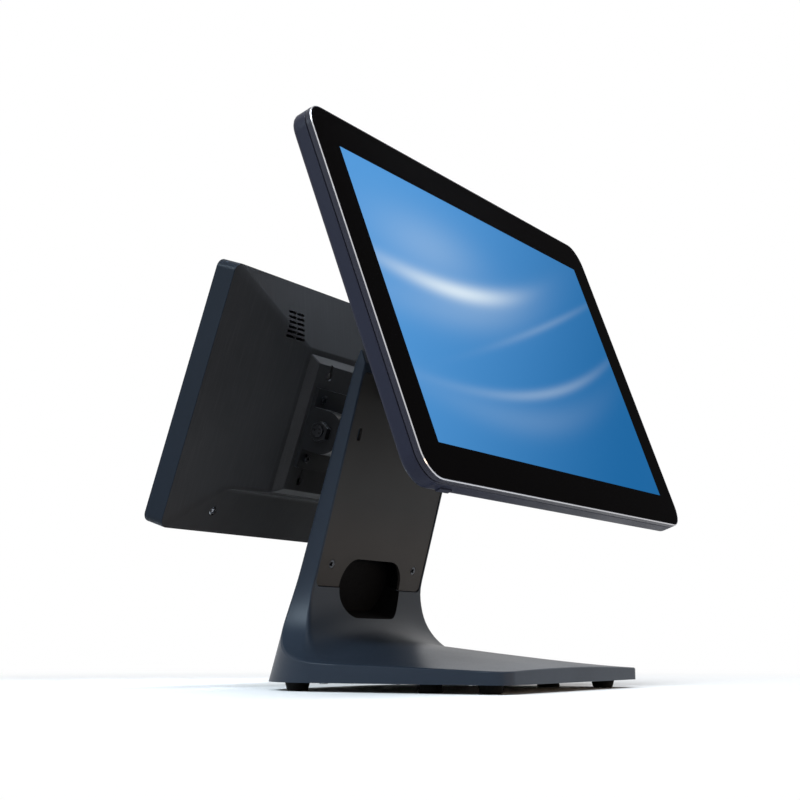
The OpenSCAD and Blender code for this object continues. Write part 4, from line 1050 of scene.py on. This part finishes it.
def build_inside():
    """Boards, panels and sheets: built as packed, with their own finishes"""
    for node, finish in INSIDE.items():
        mesh = frame["nodes"][node].data
        mesh.materials.clear()
        mesh.materials.append(MATERIALS[finish])
    on_points("cooler", "fins", [(0, 0, 0)], Matrix(), "main_screen", "heatsink",
              "fin_aluminium", **{
                  "Fins": 15, "Fin Pitch": 88.4 / 14 * MM,
                  "Fin Size": (1.6 * MM, 8.8 * MM, 66 * MM),
                  "Base Size": (90 * MM, 4 * MM, 66 * MM),
                  "Place": MAIN @ (Vector((-14, 19.2, -15)) * MM),
                  "Turn": (math.radians(MAIN_TILT), 0.0, 0.0)})
    board = corners(BOARD_SCREWS, 17.2)
    screws("board_screw_set", "board_screws", board, MAIN, MAIN_REAR, "zinc_screw",
           (2.8, 1.2), (1.4, 3.5), (1.1, 0.6))
    posts = [(i * 184.6, 10.2, j * 93.75 - 0.75) for i in (-1, 1) for j in (-1, 0, 1)]
    screws("chassis_screw_set", "chassis_screws", posts, MAIN, MAIN_REAR, "zinc_screw",
           (2.8, 1.2), (1.4, 3.2), (1.1, 0.6))


def build_ports(finish):
    """Sockets along the foot of the bay, and the power button"""
    edge = finish.sheet_edge * 0.5
    for node, material in (("power_inlet", "socket_black"), ("network_port", "port_shell"),
                           ("usb_ports", "port_shell"), ("video_port", "port_shell"),
                           ("serial_ports", "port_shell"), ("customer_port", "port_shell"),
                           ("power_button", "housing_plastic")):
        eased(node, edge, MATERIALS[material])


def build_tilt_hinge(finish):
    """The main screen's hinge: leaf, bracket, shafts, washers, nuts and bolts"""
    for node, width, material in (
            ("tilt_leaf", finish.sheet_edge, "hinge_black"),
            ("tilt_bracket", finish.sheet_edge, "hinge_black"),
            ("tilt_shafts", finish.sheet_edge, "shaft_steel"),
            ("tilt_washers", finish.sheet_edge * 0.4, "zinc_screw"),
            ("tilt_nuts", finish.sheet_edge, "zinc_screw")):
        eased(node, width, MATERIALS[material])
    screws("tilt_leaf_bolt_set", "tilt_leaf_bolts", corners(LEAF_BOLTS, 43.1), MAIN, MAIN_REAR,
           "black_zinc", (4.5, 2.6), (2.5, 7.5), (1.9, 1.3))
    screws("column_bolt_set", "column_bolts", corners(COLUMN_BOLTS, 2.8), COLUMN, COLUMN_FRONT,
           "black_zinc", (4.5, 2.6), (2.5, 9.8), (1.9, 1.3))


# The stand's own lengths, in mm: y counts from under the main glass centre
FOOT_Z = 5.5
CROWN_Z = 15
BASE_HALF, BASE_FRONT, NOSE_RADIUS = 105, -40.5, 12
REAR_FOOT, REAR_RADIUS = 154.3, 54
COLUMN_HALF, SHOULDER_Z, RIDGE_Y, RIDGE_Z = 70.5, 211.4, 80.1, 220.3
FILLET, FLARE, SOFT, LOW = 32, 43, 5, 12
LEAN, RISE, BACK = (math.radians(a) for a in (COLUMN_LEAN, 7, 17.3))
FILLET_Y, FILLET_Z = 83.6, 62.48
LEVEL_REACH, REAR_EDGE, EDGE_REACH = 28, 1.2, 8
SIDE_DROP, SIDE_FALL = 1.8, 0.0887
FOOT_X, FOOT_ROWS, MIDDLE_FOOT_Y = 85, (-20.5, 117.6), 20.5
PLATE_SCREWS = [(x, y) for x in (-79, 79) for y in (-4.5, 48.55, 101.6)]
COVER_SCREW_X, COVER_SCREW_V = 54, 84.4


def crown(y):
    """Height of the base's top along its middle, which rises to the rear"""
    return CROWN_Z + (y - BASE_FRONT) * math.tan(RISE)


def base_top(x, y):
    """Height of the base's crowned top"""
    return crown(y) - (SIDE_DROP + SIDE_FALL * (y - BASE_FRONT)) * (x / BASE_HALF) ** 2


def front_profile():
    """The front face as (height above the crown line, y): its fillet, then its leaning line"""
    pairs = []
    for k in range(41):
        a = RISE - math.pi / 2 + (LEAN - RISE + math.pi / 2) * k / 40
        y = FILLET_Y + FILLET * math.cos(a)
        pairs.append((FILLET_Z + FILLET * math.sin(a) - crown(y), y))
    top_y = pairs[-1][1] - (SHOULDER_Z - FILLET_Z - FILLET * math.sin(LEAN)) * math.tan(LEAN)
    return pairs + [(SHOULDER_Z - crown(top_y), top_y)]


def read_off(pairs, value):
    """Value from a rising table of pairs"""
    for (a, u), (b, v) in zip(pairs, pairs[1:]):
        if value <= b:
            return u + (v - u) * max(value - a, 0) / (b - a)
    return pairs[-1][1]


def side_run(height):
    """Half width of the column at a height above the base, flared at its foot"""
    if height >= FLARE:
        return COLUMN_HALF
    return COLUMN_HALF + FLARE - math.sqrt(FLARE ** 2 - (FLARE - height) ** 2)


def rear_run(x, z):
    """The leaning rear surface with its round corners"""
    out = max(abs(x) - (BASE_HALF - REAR_RADIUS), 0)
    dip = math.sqrt(max(REAR_RADIUS ** 2 - out ** 2, 0)) - REAR_RADIUS
    return REAR_FOOT - z * math.tan(BACK) + dip / math.cos(BACK)


def foot_height(x, y):
    """Top of the base with the foot of the column, whose fillets fade into each other"""
    ahead = y - FILLET_Y
    if ahead < FILLET * math.sin(RISE):
        front = 0.0
    elif ahead < FILLET:
        front = FILLET_Z - math.sqrt(FILLET ** 2 - ahead ** 2) - crown(y)
    else:
        front = 2 * FILLET
    out = min(COLUMN_HALF + FLARE - abs(x), FLARE)
    side = FLARE - math.sqrt(FLARE ** 2 - out ** 2) if out > 0 else 0.0
    soft = min(SOFT, front + side)
    near = max(soft - abs(front - side), 0.0)
    blend = near * near / (4 * soft) if soft > 1e-6 else 0.0
    return base_top(x, y) + min(front, side) - blend


def curve(a, b, c, steps):
    """Points of a quadratic curve from a by b to c, without its last"""
    return [a.lerp(b, k / steps).lerp(b.lerp(c, k / steps), k / steps) for k in range(steps)]


def column_half(height, profile):
    """Right half of the section at a height above the base, from front to rear"""
    # The section follows the base's crown at first and is level further up
    share = min(max((height - LOW) / LEVEL_REACH, 0), 1)
    level = share * share * (3 - 2 * share)
    edge = REAR_EDGE * min(max((height - LOW) / EDGE_REACH, 0), 1)
    half, front = side_run(height), read_off(profile, height)
    rx = half - side_run(height + SOFT) + edge
    ry = max(read_off(profile, height + SOFT) - front, 0) + edge

    def lift(x, y):
        return height + base_top(x, y) * (1 - level) + crown(front) * level

    z = lift(half, 120)
    for _ in range(6):
        rear = rear_run(half, z)
        z = lift(half, rear)
    flat = [Vector((x, front)) for x in ((half - rx) * k / 8 for k in range(8))]
    flat += curve(Vector((half - rx, front)), Vector((half, front)),
                  Vector((half, front + ry)), 10)
    side = rear - edge - front - ry
    flat += [Vector((half, front + ry + side * 0.35 * k / 12)) for k in range(12)]
    flat += [Vector((half, front + ry + side * (0.35 + 0.65 * k / 14))) for k in range(14)]
    points = [Vector((p.x, p.y, lift(p.x, p.y))) for p in flat]
    inner = half - edge
    points += curve(Vector((half, rear - edge, z)), Vector((half, rear, z)),
                    Vector((inner, rear_run(inner, z), z)), 4)
    return points + [Vector((x, rear_run(x, z), z))
                     for x in (inner * (1 - k / 12) for k in range(13))]


def outline_half(low):
    """Right half of the base's outline: x, y or None on the rear surface, outward normal"""
    round_x, round_y = BASE_HALF - NOSE_RADIUS, BASE_FRONT + NOSE_RADIUS
    points = [(round_x * k / 8, BASE_FRONT, (0, -1)) for k in range(8)]
    for k in range(10):
        a = math.radians(-90 + 9 * k)
        points.append((round_x + NOSE_RADIUS * math.cos(a),
                       round_y + NOSE_RADIUS * math.sin(a), (math.cos(a), math.sin(a))))
    start = rear_run(BASE_HALF, foot_height(BASE_HALF, 92))
    points += [(BASE_HALF, round_y + (start - round_y) * k / 12, (1, 0)) for k in range(12)]
    centre = BASE_HALF - REAR_RADIUS
    last = math.acos((low[44].x - centre) / REAR_RADIUS)
    for k in range(14):
        a = last * k / 14
        points.append((centre + REAR_RADIUS * math.cos(a), None, (math.cos(a), math.sin(a))))
    return points + [(p.x, None, None) for p in low[44:]]


def whole(half):
    """A closed loop from its right half"""
    return half + [Vector((-p.x, p.y, p.z)) for p in half[-2:0:-1]]


def stand_rings():
    """Loops of the casting's outside, from its underside to its ridge"""
    profile = front_profile()
    low = column_half(LOW, profile)
    edge, inset_edge, outline = 1.0, [], outline_half(low)
    rows = [[], [], [], []]
    for (x, y, normal), target in zip(outline, low):
        z = target.z
        if normal:
            for _ in range(8):
                z = foot_height(x, rear_run(x, z) if y is None else y)

        def point(level, inset=0.0):
            across = Vector(normal) * inset if normal else Vector((0, 0))
            along = rear_run(x, level) if y is None else y
            return Vector((x - across.x, along - across.y, level))

        rows[0].append(point(FOOT_Z))
        rows[1].append(point(z - edge))
        for row, a in ((2, 30), (3, 60)):
            a = math.radians(a)
            rows[row].append(point(z - edge + edge * math.sin(a), edge * (1 - math.cos(a)))
                             if normal else point(z))
        top = point(z, edge)
        inset_edge.append(Vector((top.x, top.y, foot_height(top.x, top.y))) if normal else top)
    rows.append(inset_edge)
    steps = 30
    for k in range(1, steps):
        t = 1 - (1 - k / steps) ** 1.6
        row = []
        for start, target, (_, _, normal) in zip(inset_edge, low, outline):
            p = start.lerp(target, t)
            if normal:
                p.z = foot_height(p.x, p.y)
            row.append(p)
        rows.append(row)
    rows.append(low)
    top = profile[-1][0]
    heights = (13, 14.2, 15.6, 17.2, 19, 21, 23.4, 26, 29, 32.5, 36.5, 41, 46, 52, 60, 95, 140,
               top - 0.8)
    rows += [column_half(h, profile) for h in heights]
    last = column_half(top, profile)
    rows.append([Vector((p.x * 0.998, p.y, p.z)) for p in last])
    middle = sum(p.y for p in last) / len(last)
    for x, y, z in ((0.996, 0.12, RIDGE_Z - 0.4), (0.992, 0.05, RIDGE_Z)):
        rows.append([Vector((p.x * x, RIDGE_Y + (p.y - middle) * y, z)) for p in last])
    return [whole(row) for row in rows], outline


def cut_stand(casting, outline):
    """The casting's underside, the cover's seat, the cable channel, the hole and the bolts"""
    upright = TABLE @ Matrix.Rotation(math.radians(90), 4, "X")
    for inset, roof in ((2, 7), (4, 10)):
        ring = []
        for x, y, normal in outline:
            n = Vector(normal or (0, 1)) * inset
            ring.append((x - n.x, (rear_run(x, FOOT_Z) if y is None else y) - n.y))
        bm = bmesh.new()
        loft(bm, [whole([Vector((x, y, z)) for x, y in ring]) for z in (FOOT_Z - 1, roof)])
        boolean(casting, new_piece("recess", bm, TABLE), "DIFFERENCE")
    for radius, low, high, operation in ((4, 7, 10.5, "UNION"), (1.5, 6, 10, "DIFFERENCE")):
        bm = bmesh.new()
        for x, y in PLATE_SCREWS:
            rod_mm(bm, x, -y, radius, low, high)
        boolean(casting, new_piece("posts", bm, upright), operation)
    cuts = []
    bm = bmesh.new()
    loft(bm, [loop(137.2, 144.2, 4.5, n, 141.19) for n in (-3, 2.4)])
    cuts.append(bm)
    bm = bmesh.new()
    loft(bm, [[Vector((x, n, v)) for n, v in (
        (-1, 70), (-1, 211.98), (8.4, 211.98), (8.4, 171.98), (13.35, 70))] for x in (-50, 50)])
    cuts.append(bm)
    bm = bmesh.new()
    loft(bm, [loop(79, 38.5, 18, n, 70, steps=12) for n in (-36, 13.35)])
    cuts.append(bm)
    bm = bmesh.new()
    for x, _, v in corners(COLUMN_BOLTS):
        rod_mm(bm, x, v, 2.75, 7.4, 12)
    for x in (-COVER_SCREW_X, COVER_SCREW_X):
        rod_mm(bm, x, COVER_SCREW_V, 1.5, 1.4, 8.4)
    box_mm(bm, -43, 43, 11.4, 23.4, 173.98, 211.98)
    cuts.append(bm)
    for bm in cuts:
        boolean(casting, new_piece("stand_cut", bm, COLUMN), "DIFFERENCE")


def build_stand(finish):
    """The casting with painted shade in its channel and hole, the base plate, its screws and the
    feet
    """
    rings, outline = stand_rings()
    bm = bmesh.new()
    loft(bm, rings)
    casting = new_piece("stand_body", bm, TABLE)
    cut_stand(casting, outline)
    coat, painted_shade = MATERIALS["casting_coat"], MATERIALS["channel_painted_shade"]
    back = COLUMN.inverted()
    turn = back.to_3x3()
    # x runs across the column, n from its front face inward, v along it
    # Faces inside the channel and the hole take the near-black finish: painted shade for the dark
    # in there
    for polygon in casting.data.polygons:
        x, n, v = (back @ polygon.center) / MM
        facing = (turn @ polygon.normal).y
        channel = 0.5 < n < 13.8 and abs(x) < 51 and 49 < v < 213 and facing < 0.5
        hole = -11 < n < 40 and abs(x) < 39.8 and 50.4 < v < 89.6 and abs(facing) < 0.3
        polygon.material_index = 1 if hole or channel else 0
    place_piece(casting, "stand", ["stand_casting"], slot_of("stand_casting"), coat, painted_shade)
    eased("base_plate", finish.sheet_edge, MATERIALS["inner_plastic"])
    feet = [(x, y, FOOT_Z) for x in (-FOOT_X, FOOT_X) for y in FOOT_ROWS]
    on_points("feet", "feet", feet, TABLE, "stand", "rubber_feet", "foot_rubber")
    middle = [(x, MIDDLE_FOOT_Y, FOOT_Z) for x in (-FOOT_X, FOOT_X)]
    on_points("middle_feet", "feet", middle, TABLE, "stand", "rubber_feet", "foot_rubber",
              **{"Top Radius": 6.75 * MM, "Foot Radius": 8 * MM})
    plate = [(x, y, 4.3) for x, y in PLATE_SCREWS]
    screws("base_plate_screw_set", "base_plate_screws", plate, TABLE, 180, "zinc_screw",
           (2.8, 1.2), (1.4, 3.8), (1.2, 0.6))


def build_column_cover(finish):
    """The plate over the cable channel and its two countersunk screws"""
    eased("column_cover", finish.sheet_edge, MATERIALS["cover_coat"])
    places = [(x, 0.5, COVER_SCREW_V) for x in (-COVER_SCREW_X, COVER_SCREW_X)]
    screws("cover_screw_set", "cover_screws", places, COLUMN, COLUMN_FRONT, "black_zinc",
           (3.2, 1.5), (1.45, 5.4), (1.5, 1.1), cone=0.8)


def build_guest_front(screens, finish):
    """The customer screen's frame and its lit glass"""
    eased("customer_frame", finish.sheet_edge * 2, MATERIALS["guest_frame_shaded_coat"],
          segments=3)
    glass = lit_glass("customer_glass_lit", GUEST, (285.8, 173.8), 4.9, (15.5, 13.7),
                      (screens.guest_lit_width / MM, screens.guest_lit_height / MM), 0.0)
    place_piece(glass, "customer_screen", ["customer_glass"], slot_of("customer_glass"),
                MATERIALS["screen_glass"], MATERIALS["guest_picture"])


def cover_profile(inset):
    """Sections of the customer cover from rim to pad: depth, width, top, foot, corner, reach"""
    return [
        (0, 288 - 2 * inset, 88 - inset, inset - 88, 6 - inset, 0),
        (inset - 8.2, 202.3 - 1.54 * inset, 67.6 - 0.6 * inset, inset - 56, 4, 9),
        (inset - 15.5, 126 - 2 * inset, 49.4 - inset, inset - 53, 3, 2.4),
        (inset - 15.5, 118 - 2 * inset, 45.4 - inset, inset - 52.6, 1.6, 0.5),
        (inset - 20.5, 107 - 2 * inset, 40.9 - inset, inset - 48.1, 1.4, 0.9)]


def softened(profile, steps=4):
    """Loops along a profile whose corners are rounded within each corner's reach"""
    points = [Vector(section[:5]) for section in profile]
    inner = Vector((*points[-1][:1], points[-1][1] - 8, points[-1][2] - 4, points[-1][3] + 4,
                    points[-1][4]))
    chain = [points[0]]
    for i in range(1, len(points)):
        before, at = points[i - 1], points[i]
        after = points[i + 1] if i + 1 < len(points) else inner
        reach = profile[i][5]
        a = at.lerp(before, min(0.45, reach / (before - at).length))
        b = at.lerp(after, min(0.45, reach / (after - at).length))
        for k in range(steps + 1):
            t = k / steps
            chain.append(a.lerp(at, t).lerp(at.lerp(b, t), t))
    return [loop(w, top - foot, r, y, (top + foot) / 2) for y, w, top, foot, r in chain]


def build_guest_rear():
    """The customer screen's rear cover with its vents and mounting holes, and its screws"""
    bm = bmesh.new()
    outside = softened(cover_profile(0))
    inside = [loop(w, top - foot, r, y, (top + foot) / 2)
              for y, w, top, foot, r, _ in cover_profile(2)]
    loft(bm, [
        *inside[:0:-1], loop(278.8, 168.8, 2, -0.5), loop(280, 168, 2, 3),
        loop(283.7, 171.7, 4, 3), loop(283.7, 171.7, 4, 0),
        loop(287.4, 175.4, 5.7, 0), loop(287.8, 175.8, 5.9, -0.1), *outside[1:]])
    cover = new_piece("customer_cover", bm, GUEST)
    places = [(x, -3.17, -72.5) for x in (-100, 100)]
    bm = bmesh.new()
    for x, _, z in places:
        rod_mm(bm, x, z, 4.5, -2.97, 7.7)
    boolean(cover, new_piece("cover_posts", bm, GUEST), "UNION")
    for radius, front, rear in ((3.4, -9, -1.97), (1.7, -3, 8.2)):
        bm = bmesh.new()
        for x, _, z in places:
            rod_mm(bm, x, z, radius, front, rear)
        boolean(cover, new_piece("screw_wells", bm, GUEST), "DIFFERENCE")
    cuts = bmesh.new()
    for x, _, z in corners(GUEST_LEAF_SCREWS):
        rod_mm(cuts, x, z, 1.7, -21, -18)
    box_mm(cuts, 23.5, 40.5, -20.6, 0.2, -84.0, -55.85)
    boolean(cover, new_piece("cover_openings", cuts, GUEST), "DIFFERENCE")
    for x, _, z in corners(GUEST_KEYHOLES):
        keyhole = bmesh.new()
        rod_mm(keyhole, x, z, 3, -21, -18)
        boolean(cover, new_piece("keyhole", keyhole, GUEST), "DIFFERENCE")
        keyhole = bmesh.new()
        loft(keyhole, [loop(2.8, 9.4, 1.39, y, z + 3.3, x) for y in (-21, -18)])
        boolean(cover, new_piece("keyhole_slot", keyhole, GUEST), "DIFFERENCE")
    plastic = MATERIALS["guest_cover_plastic"]
    for side in (-1, 1):
        run_tree(cover, shared_tree("slots"), {
            "Columns": 2, "Rows": 6, "Column Pitch": 9.2 * MM, "Row Pitch": 3.2 * MM,
            "Slot Width": 8.6 * MM, "Slot Height": 1.6 * MM, "Corner": 0.4 * MM,
            "Depth": 20 * MM, "Place": GUEST @ (Vector((side * 77.6, -10, 60.5)) * MM),
            "Turn": (math.radians(GUEST_TILT - 90), 0.0, 0.0), "Material": plastic})
    place_piece(outward(cover), "customer_screen", ["customer_rear_cover"],
                slot_of("customer_rear_cover"), plastic, angle=24)
    screws("customer_cover_screw_set", "customer_cover_screws", places, GUEST, GUEST_REAR,
           "zinc_screw", (2.9, 1.2), (1.5, 10.4), (1.2, 0.6))


def build_guest_hinge(finish):
    """The customer screen's hinge: arm, leaf, shaft, washers, nuts and screws"""
    for node, width, material in (
            ("customer_arm", finish.arm_edge, "casting_coat"),
            ("customer_leaf", finish.sheet_edge * 1.4, "hinge_black"),
            ("customer_shaft", finish.sheet_edge, "black_zinc"),
            ("customer_washers", finish.sheet_edge * 0.4, "zinc_screw"),
            ("customer_nuts", finish.sheet_edge, "hinge_black")):
        eased(node, width, MATERIALS[material])
    places = corners(GUEST_LEAF_SCREWS, -24.7)
    screws("customer_leaf_screw_set", "customer_leaf_screws", places, GUEST, GUEST_REAR,
           "black_zinc", (2.9, 1.2), (1.5, 7.0), (1.2, 0.6))


# ---------------------------------------------------------------- stage

# In metres: the camera, the floor, and how far from the middle it starts to fade and is white
CAMERA_PLACE = (-0.8961, -0.50882, 0.0276)
FLOOR_RADIUS = 12
FLOOR_CLEAR, FLOOR_WHITE = 0.25, 0.8


def area_light(name, place, aim, size, power, colour, spread=180):
    """A plain lamp at place that points at aim; power in watts, spread in degrees"""
    lamp = bpy.data.lights.new(name, "AREA")
    lamp.shape = "RECTANGLE"
    lamp.size, lamp.size_y = size
    lamp.energy = power
    lamp.spread = math.radians(spread)
    lamp.color = colour
    obj = new_object(name, lamp)
    obj.location = place
    obj.rotation_euler = (Vector(aim) - Vector(place)).to_track_quat("-Z", "Y").to_euler()
    return obj


def make_world(ambient):
    """White where it is seen, and an even light of its own strength elsewhere"""
    world = bpy.data.worlds.new("studio")
    bpy.context.scene.world = world
    world.use_nodes = True
    tree = world.node_tree
    tree.nodes.clear()
    seen = direct_rays(tree)
    even = tree.nodes.new("ShaderNodeBackground")
    even.inputs[0].default_value = (1.0, 1.0, 1.0, 1)
    even.inputs[1].default_value = ambient
    white = tree.nodes.new("ShaderNodeBackground")
    white.inputs[0].default_value = (1, 1, 1, 1)
    mix = tree.nodes.new("ShaderNodeMixShader")
    out = tree.nodes.new("ShaderNodeOutputWorld")
    tree.links.new(seen, mix.inputs[0])
    tree.links.new(even.outputs[0], mix.inputs[1])
    tree.links.new(white.outputs[0], mix.inputs[2])
    tree.links.new(mix.outputs[0], out.inputs[0])


def make_floor():
    """A plain pale floor that keeps the shadow and runs out into white"""
    bm = bmesh.new()
    bmesh.ops.create_circle(bm, cap_ends=True, segments=96, radius=FLOOR_RADIUS)
    mesh = bpy.data.meshes.new("floor")
    bm.to_mesh(mesh)
    bm.free()
    obj = new_object("floor", mesh)
    material = bpy.data.materials.new("pale_floor")
    material.use_nodes = True
    tree = material.node_tree
    shader = tree.nodes["Principled BSDF"]
    shader.inputs["Base Color"].default_value = (0.84, 0.84, 0.84, 1)
    shader.inputs["Roughness"].default_value = 0.9
    shader.inputs["Specular IOR Level"].default_value = 0.1
    shader.inputs["Emission Color"].default_value = (1, 1, 1, 1)
    away = tree.nodes.new("ShaderNodeVectorMath")
    away.operation = "LENGTH"
    tree.links.new(tree.nodes.new("ShaderNodeTexCoord").outputs["Object"], away.inputs[0])
    share = math_node(tree, "MULTIPLY", direct_rays(tree),
                      span(tree, away.outputs["Value"], FLOOR_CLEAR, FLOOR_WHITE, 0, 1))
    white = tree.nodes.new("ShaderNodeEmission")
    mix = tree.nodes.new("ShaderNodeMixShader")
    tree.links.new(share, mix.inputs[0])
    tree.links.new(shader.outputs[0], mix.inputs[1])
    tree.links.new(white.outputs[0], mix.inputs[2])
    tree.links.new(mix.outputs[0], tree.nodes["Material Output"].inputs[0])
    mesh.materials.append(material)
    return obj


def build_stage(studio):
    """World, floor, lamps and camera"""
    make_world(studio.ambient)
    floor = make_floor()
    lamps = [
        area_light("high_light", (0.0, -0.5, 1.6), (0, 0, 0.2), (1.2, 1.0), 19,
                   (0.88, 0.94, 1.0)),
        area_light("left_light", (-1.0, -0.4, 1.3), (0, 0, 0.2), (0.7, 0.7), 6,
                   (0.85, 0.93, 1.0)),
        area_light("low_light", (0.1, -1.3, 0.14), (0, 0, 0.15), (1.6, 0.25), 4,
                   (1.0, 0.66, 0.4)),
        area_light("top_light", (-0.1, -0.3, 1.0), (-0.03, 0.06, 0.25), (0.15, 0.15), 0.32,
                   (0.72, 0.86, 1.0), spread=25),
        area_light("edge_light", (-0.74, 0.46, 0.7), (-0.09, 0.02, 0.03), (0.24, 0.24), 0.36,
                   (0.72, 0.88, 1.0), spread=34)]
    data = bpy.data.cameras.new("camera")
    data.lens = studio.lens
    data.sensor_width = 36
    data.clip_start = 0.02
    camera = new_object("camera", data)
    camera.location = CAMERA_PLACE
    camera.rotation_euler = Euler((math.radians(90) + studio.pitch, 0, studio.heading))
    bpy.context.scene.camera = camera
    bpy.context.scene.view_settings.view_transform = "Standard"


# ---------------------------------------------------------------- operators


class TERMINAL_OT_materials(bpy.types.Operator):
    """Make every finish of the terminal"""

    bl_idname = "terminal.materials"
    bl_label = "Materials"

    def execute(self, context):
        scene = context.scene
        make_materials(scene.terminal_screens, scene.terminal_finish)
        return {"FINISHED"}


class TERMINAL_OT_main_front(bpy.types.Operator):
    """Build the main glass, its trim and the front frame"""

    bl_idname = "terminal.main_front"
    bl_label = "Main Screen Front"

    def execute(self, context):
        build_main_front(context.scene.terminal_screens, context.scene.terminal_finish)
        return {"FINISHED"}


class TERMINAL_OT_main_rear(bpy.types.Operator):
    """Build the main screen's rear housing with its vents and screws"""

    bl_idname = "terminal.main_rear"
    bl_label = "Main Screen Rear"

    def execute(self, context):
        build_main_rear(context.scene.terminal_screens)
        return {"FINISHED"}


class TERMINAL_OT_inside(bpy.types.Operator):
    """Dress the boards, panels and sheets inside both screens"""

    bl_idname = "terminal.inside"
    bl_label = "Inside"

    def execute(self, context):
        build_inside()
        return {"FINISHED"}


class TERMINAL_OT_ports(bpy.types.Operator):
    """Build the sockets and the power button"""

    bl_idname = "terminal.ports"
    bl_label = "Ports and Button"

    def execute(self, context):
        build_ports(context.scene.terminal_finish)
        return {"FINISHED"}


class TERMINAL_OT_tilt_hinge(bpy.types.Operator):
    """Build the main screen's hinge"""

    bl_idname = "terminal.tilt_hinge"
    bl_label = "Main Hinge"

    def execute(self, context):
        build_tilt_hinge(context.scene.terminal_finish)
        return {"FINISHED"}


class TERMINAL_OT_stand(bpy.types.Operator):
    """Build the stand with its base plate and feet"""

    bl_idname = "terminal.stand"
    bl_label = "Stand"

    def execute(self, context):
        build_stand(context.scene.terminal_finish)
        return {"FINISHED"}


class TERMINAL_OT_column_cover(bpy.types.Operator):
    """Build the plate over the cable channel and its screws"""

    bl_idname = "terminal.column_cover"
    bl_label = "Column Cover"

    def execute(self, context):
        build_column_cover(context.scene.terminal_finish)
        return {"FINISHED"}


class TERMINAL_OT_guest_front(bpy.types.Operator):
    """Build the customer screen's frame and glass"""

    bl_idname = "terminal.guest_front"
    bl_label = "Customer Screen Front"

    def execute(self, context):
        build_guest_front(context.scene.terminal_screens, context.scene.terminal_finish)
        return {"FINISHED"}


class TERMINAL_OT_guest_rear(bpy.types.Operator):
    """Build the customer screen's rear cover and its screws"""

    bl_idname = "terminal.guest_rear"
    bl_label = "Customer Screen Rear"

    def execute(self, context):
        build_guest_rear()
        return {"FINISHED"}


class TERMINAL_OT_guest_hinge(bpy.types.Operator):
    """Build the customer screen's hinge"""

    bl_idname = "terminal.guest_hinge"
    bl_label = "Customer Hinge"

    def execute(self, context):
        build_guest_hinge(context.scene.terminal_finish)
        return {"FINISHED"}


class TERMINAL_OT_stage(bpy.types.Operator):
    """Make the floor, the light and the camera"""

    bl_idname = "terminal.stage"
    bl_label = "Stage"

    def execute(self, context):
        build_stage(context.scene.terminal_studio)
        return {"FINISHED"}


OPERATORS = (
    TERMINAL_OT_materials, TERMINAL_OT_main_front, TERMINAL_OT_main_rear, TERMINAL_OT_inside,
    TERMINAL_OT_ports, TERMINAL_OT_tilt_hinge, TERMINAL_OT_stand, TERMINAL_OT_column_cover,
    TERMINAL_OT_guest_front, TERMINAL_OT_guest_rear, TERMINAL_OT_guest_hinge,
    TERMINAL_OT_stage,
)


class TERMINAL_PT_build(bpy.types.Panel):
    """Steps and settings of the checkout terminal"""

    bl_idname = "TERMINAL_PT_build"
    bl_label = "Checkout Terminal"
    bl_space_type = "VIEW_3D"
    bl_region_type = "UI"
    bl_category = "Terminal"

    def draw(self, context):
        scene = context.scene
        for group in (scene.terminal_screens, scene.terminal_finish, scene.terminal_studio):
            column = self.layout.box().column()
            for name in type(group).__annotations__:
                column.prop(group, name)
        column = self.layout.column(align=True)
        for operator in OPERATORS:
            column.operator(operator.bl_idname)


CLASSES = (TerminalScreens, TerminalFinish, TerminalStudio, *OPERATORS, TERMINAL_PT_build)


def register():
    """Make the classes and settings known"""
    for cls in CLASSES:
        bpy.utils.register_class(cls)
    bpy.types.Scene.terminal_screens = bpy.props.PointerProperty(type=TerminalScreens)
    bpy.types.Scene.terminal_finish = bpy.props.PointerProperty(type=TerminalFinish)
    bpy.types.Scene.terminal_studio = bpy.props.PointerProperty(type=TerminalStudio)


def unregister():
    """Take the settings and classes away again"""
    del bpy.types.Scene.terminal_studio
    del bpy.types.Scene.terminal_finish
    del bpy.types.Scene.terminal_screens
    for cls in reversed(CLASSES):
        bpy.utils.unregister_class(cls)


def main():
    """Build the whole terminal"""
    register()
    for operator in OPERATORS:
        area, name = operator.bl_idname.split(".")
        if getattr(getattr(bpy.ops, area), name)() != {"FINISHED"}:
            raise RuntimeError(f"{operator.bl_label} did not finish")


if __name__ == "__main__":
    main()
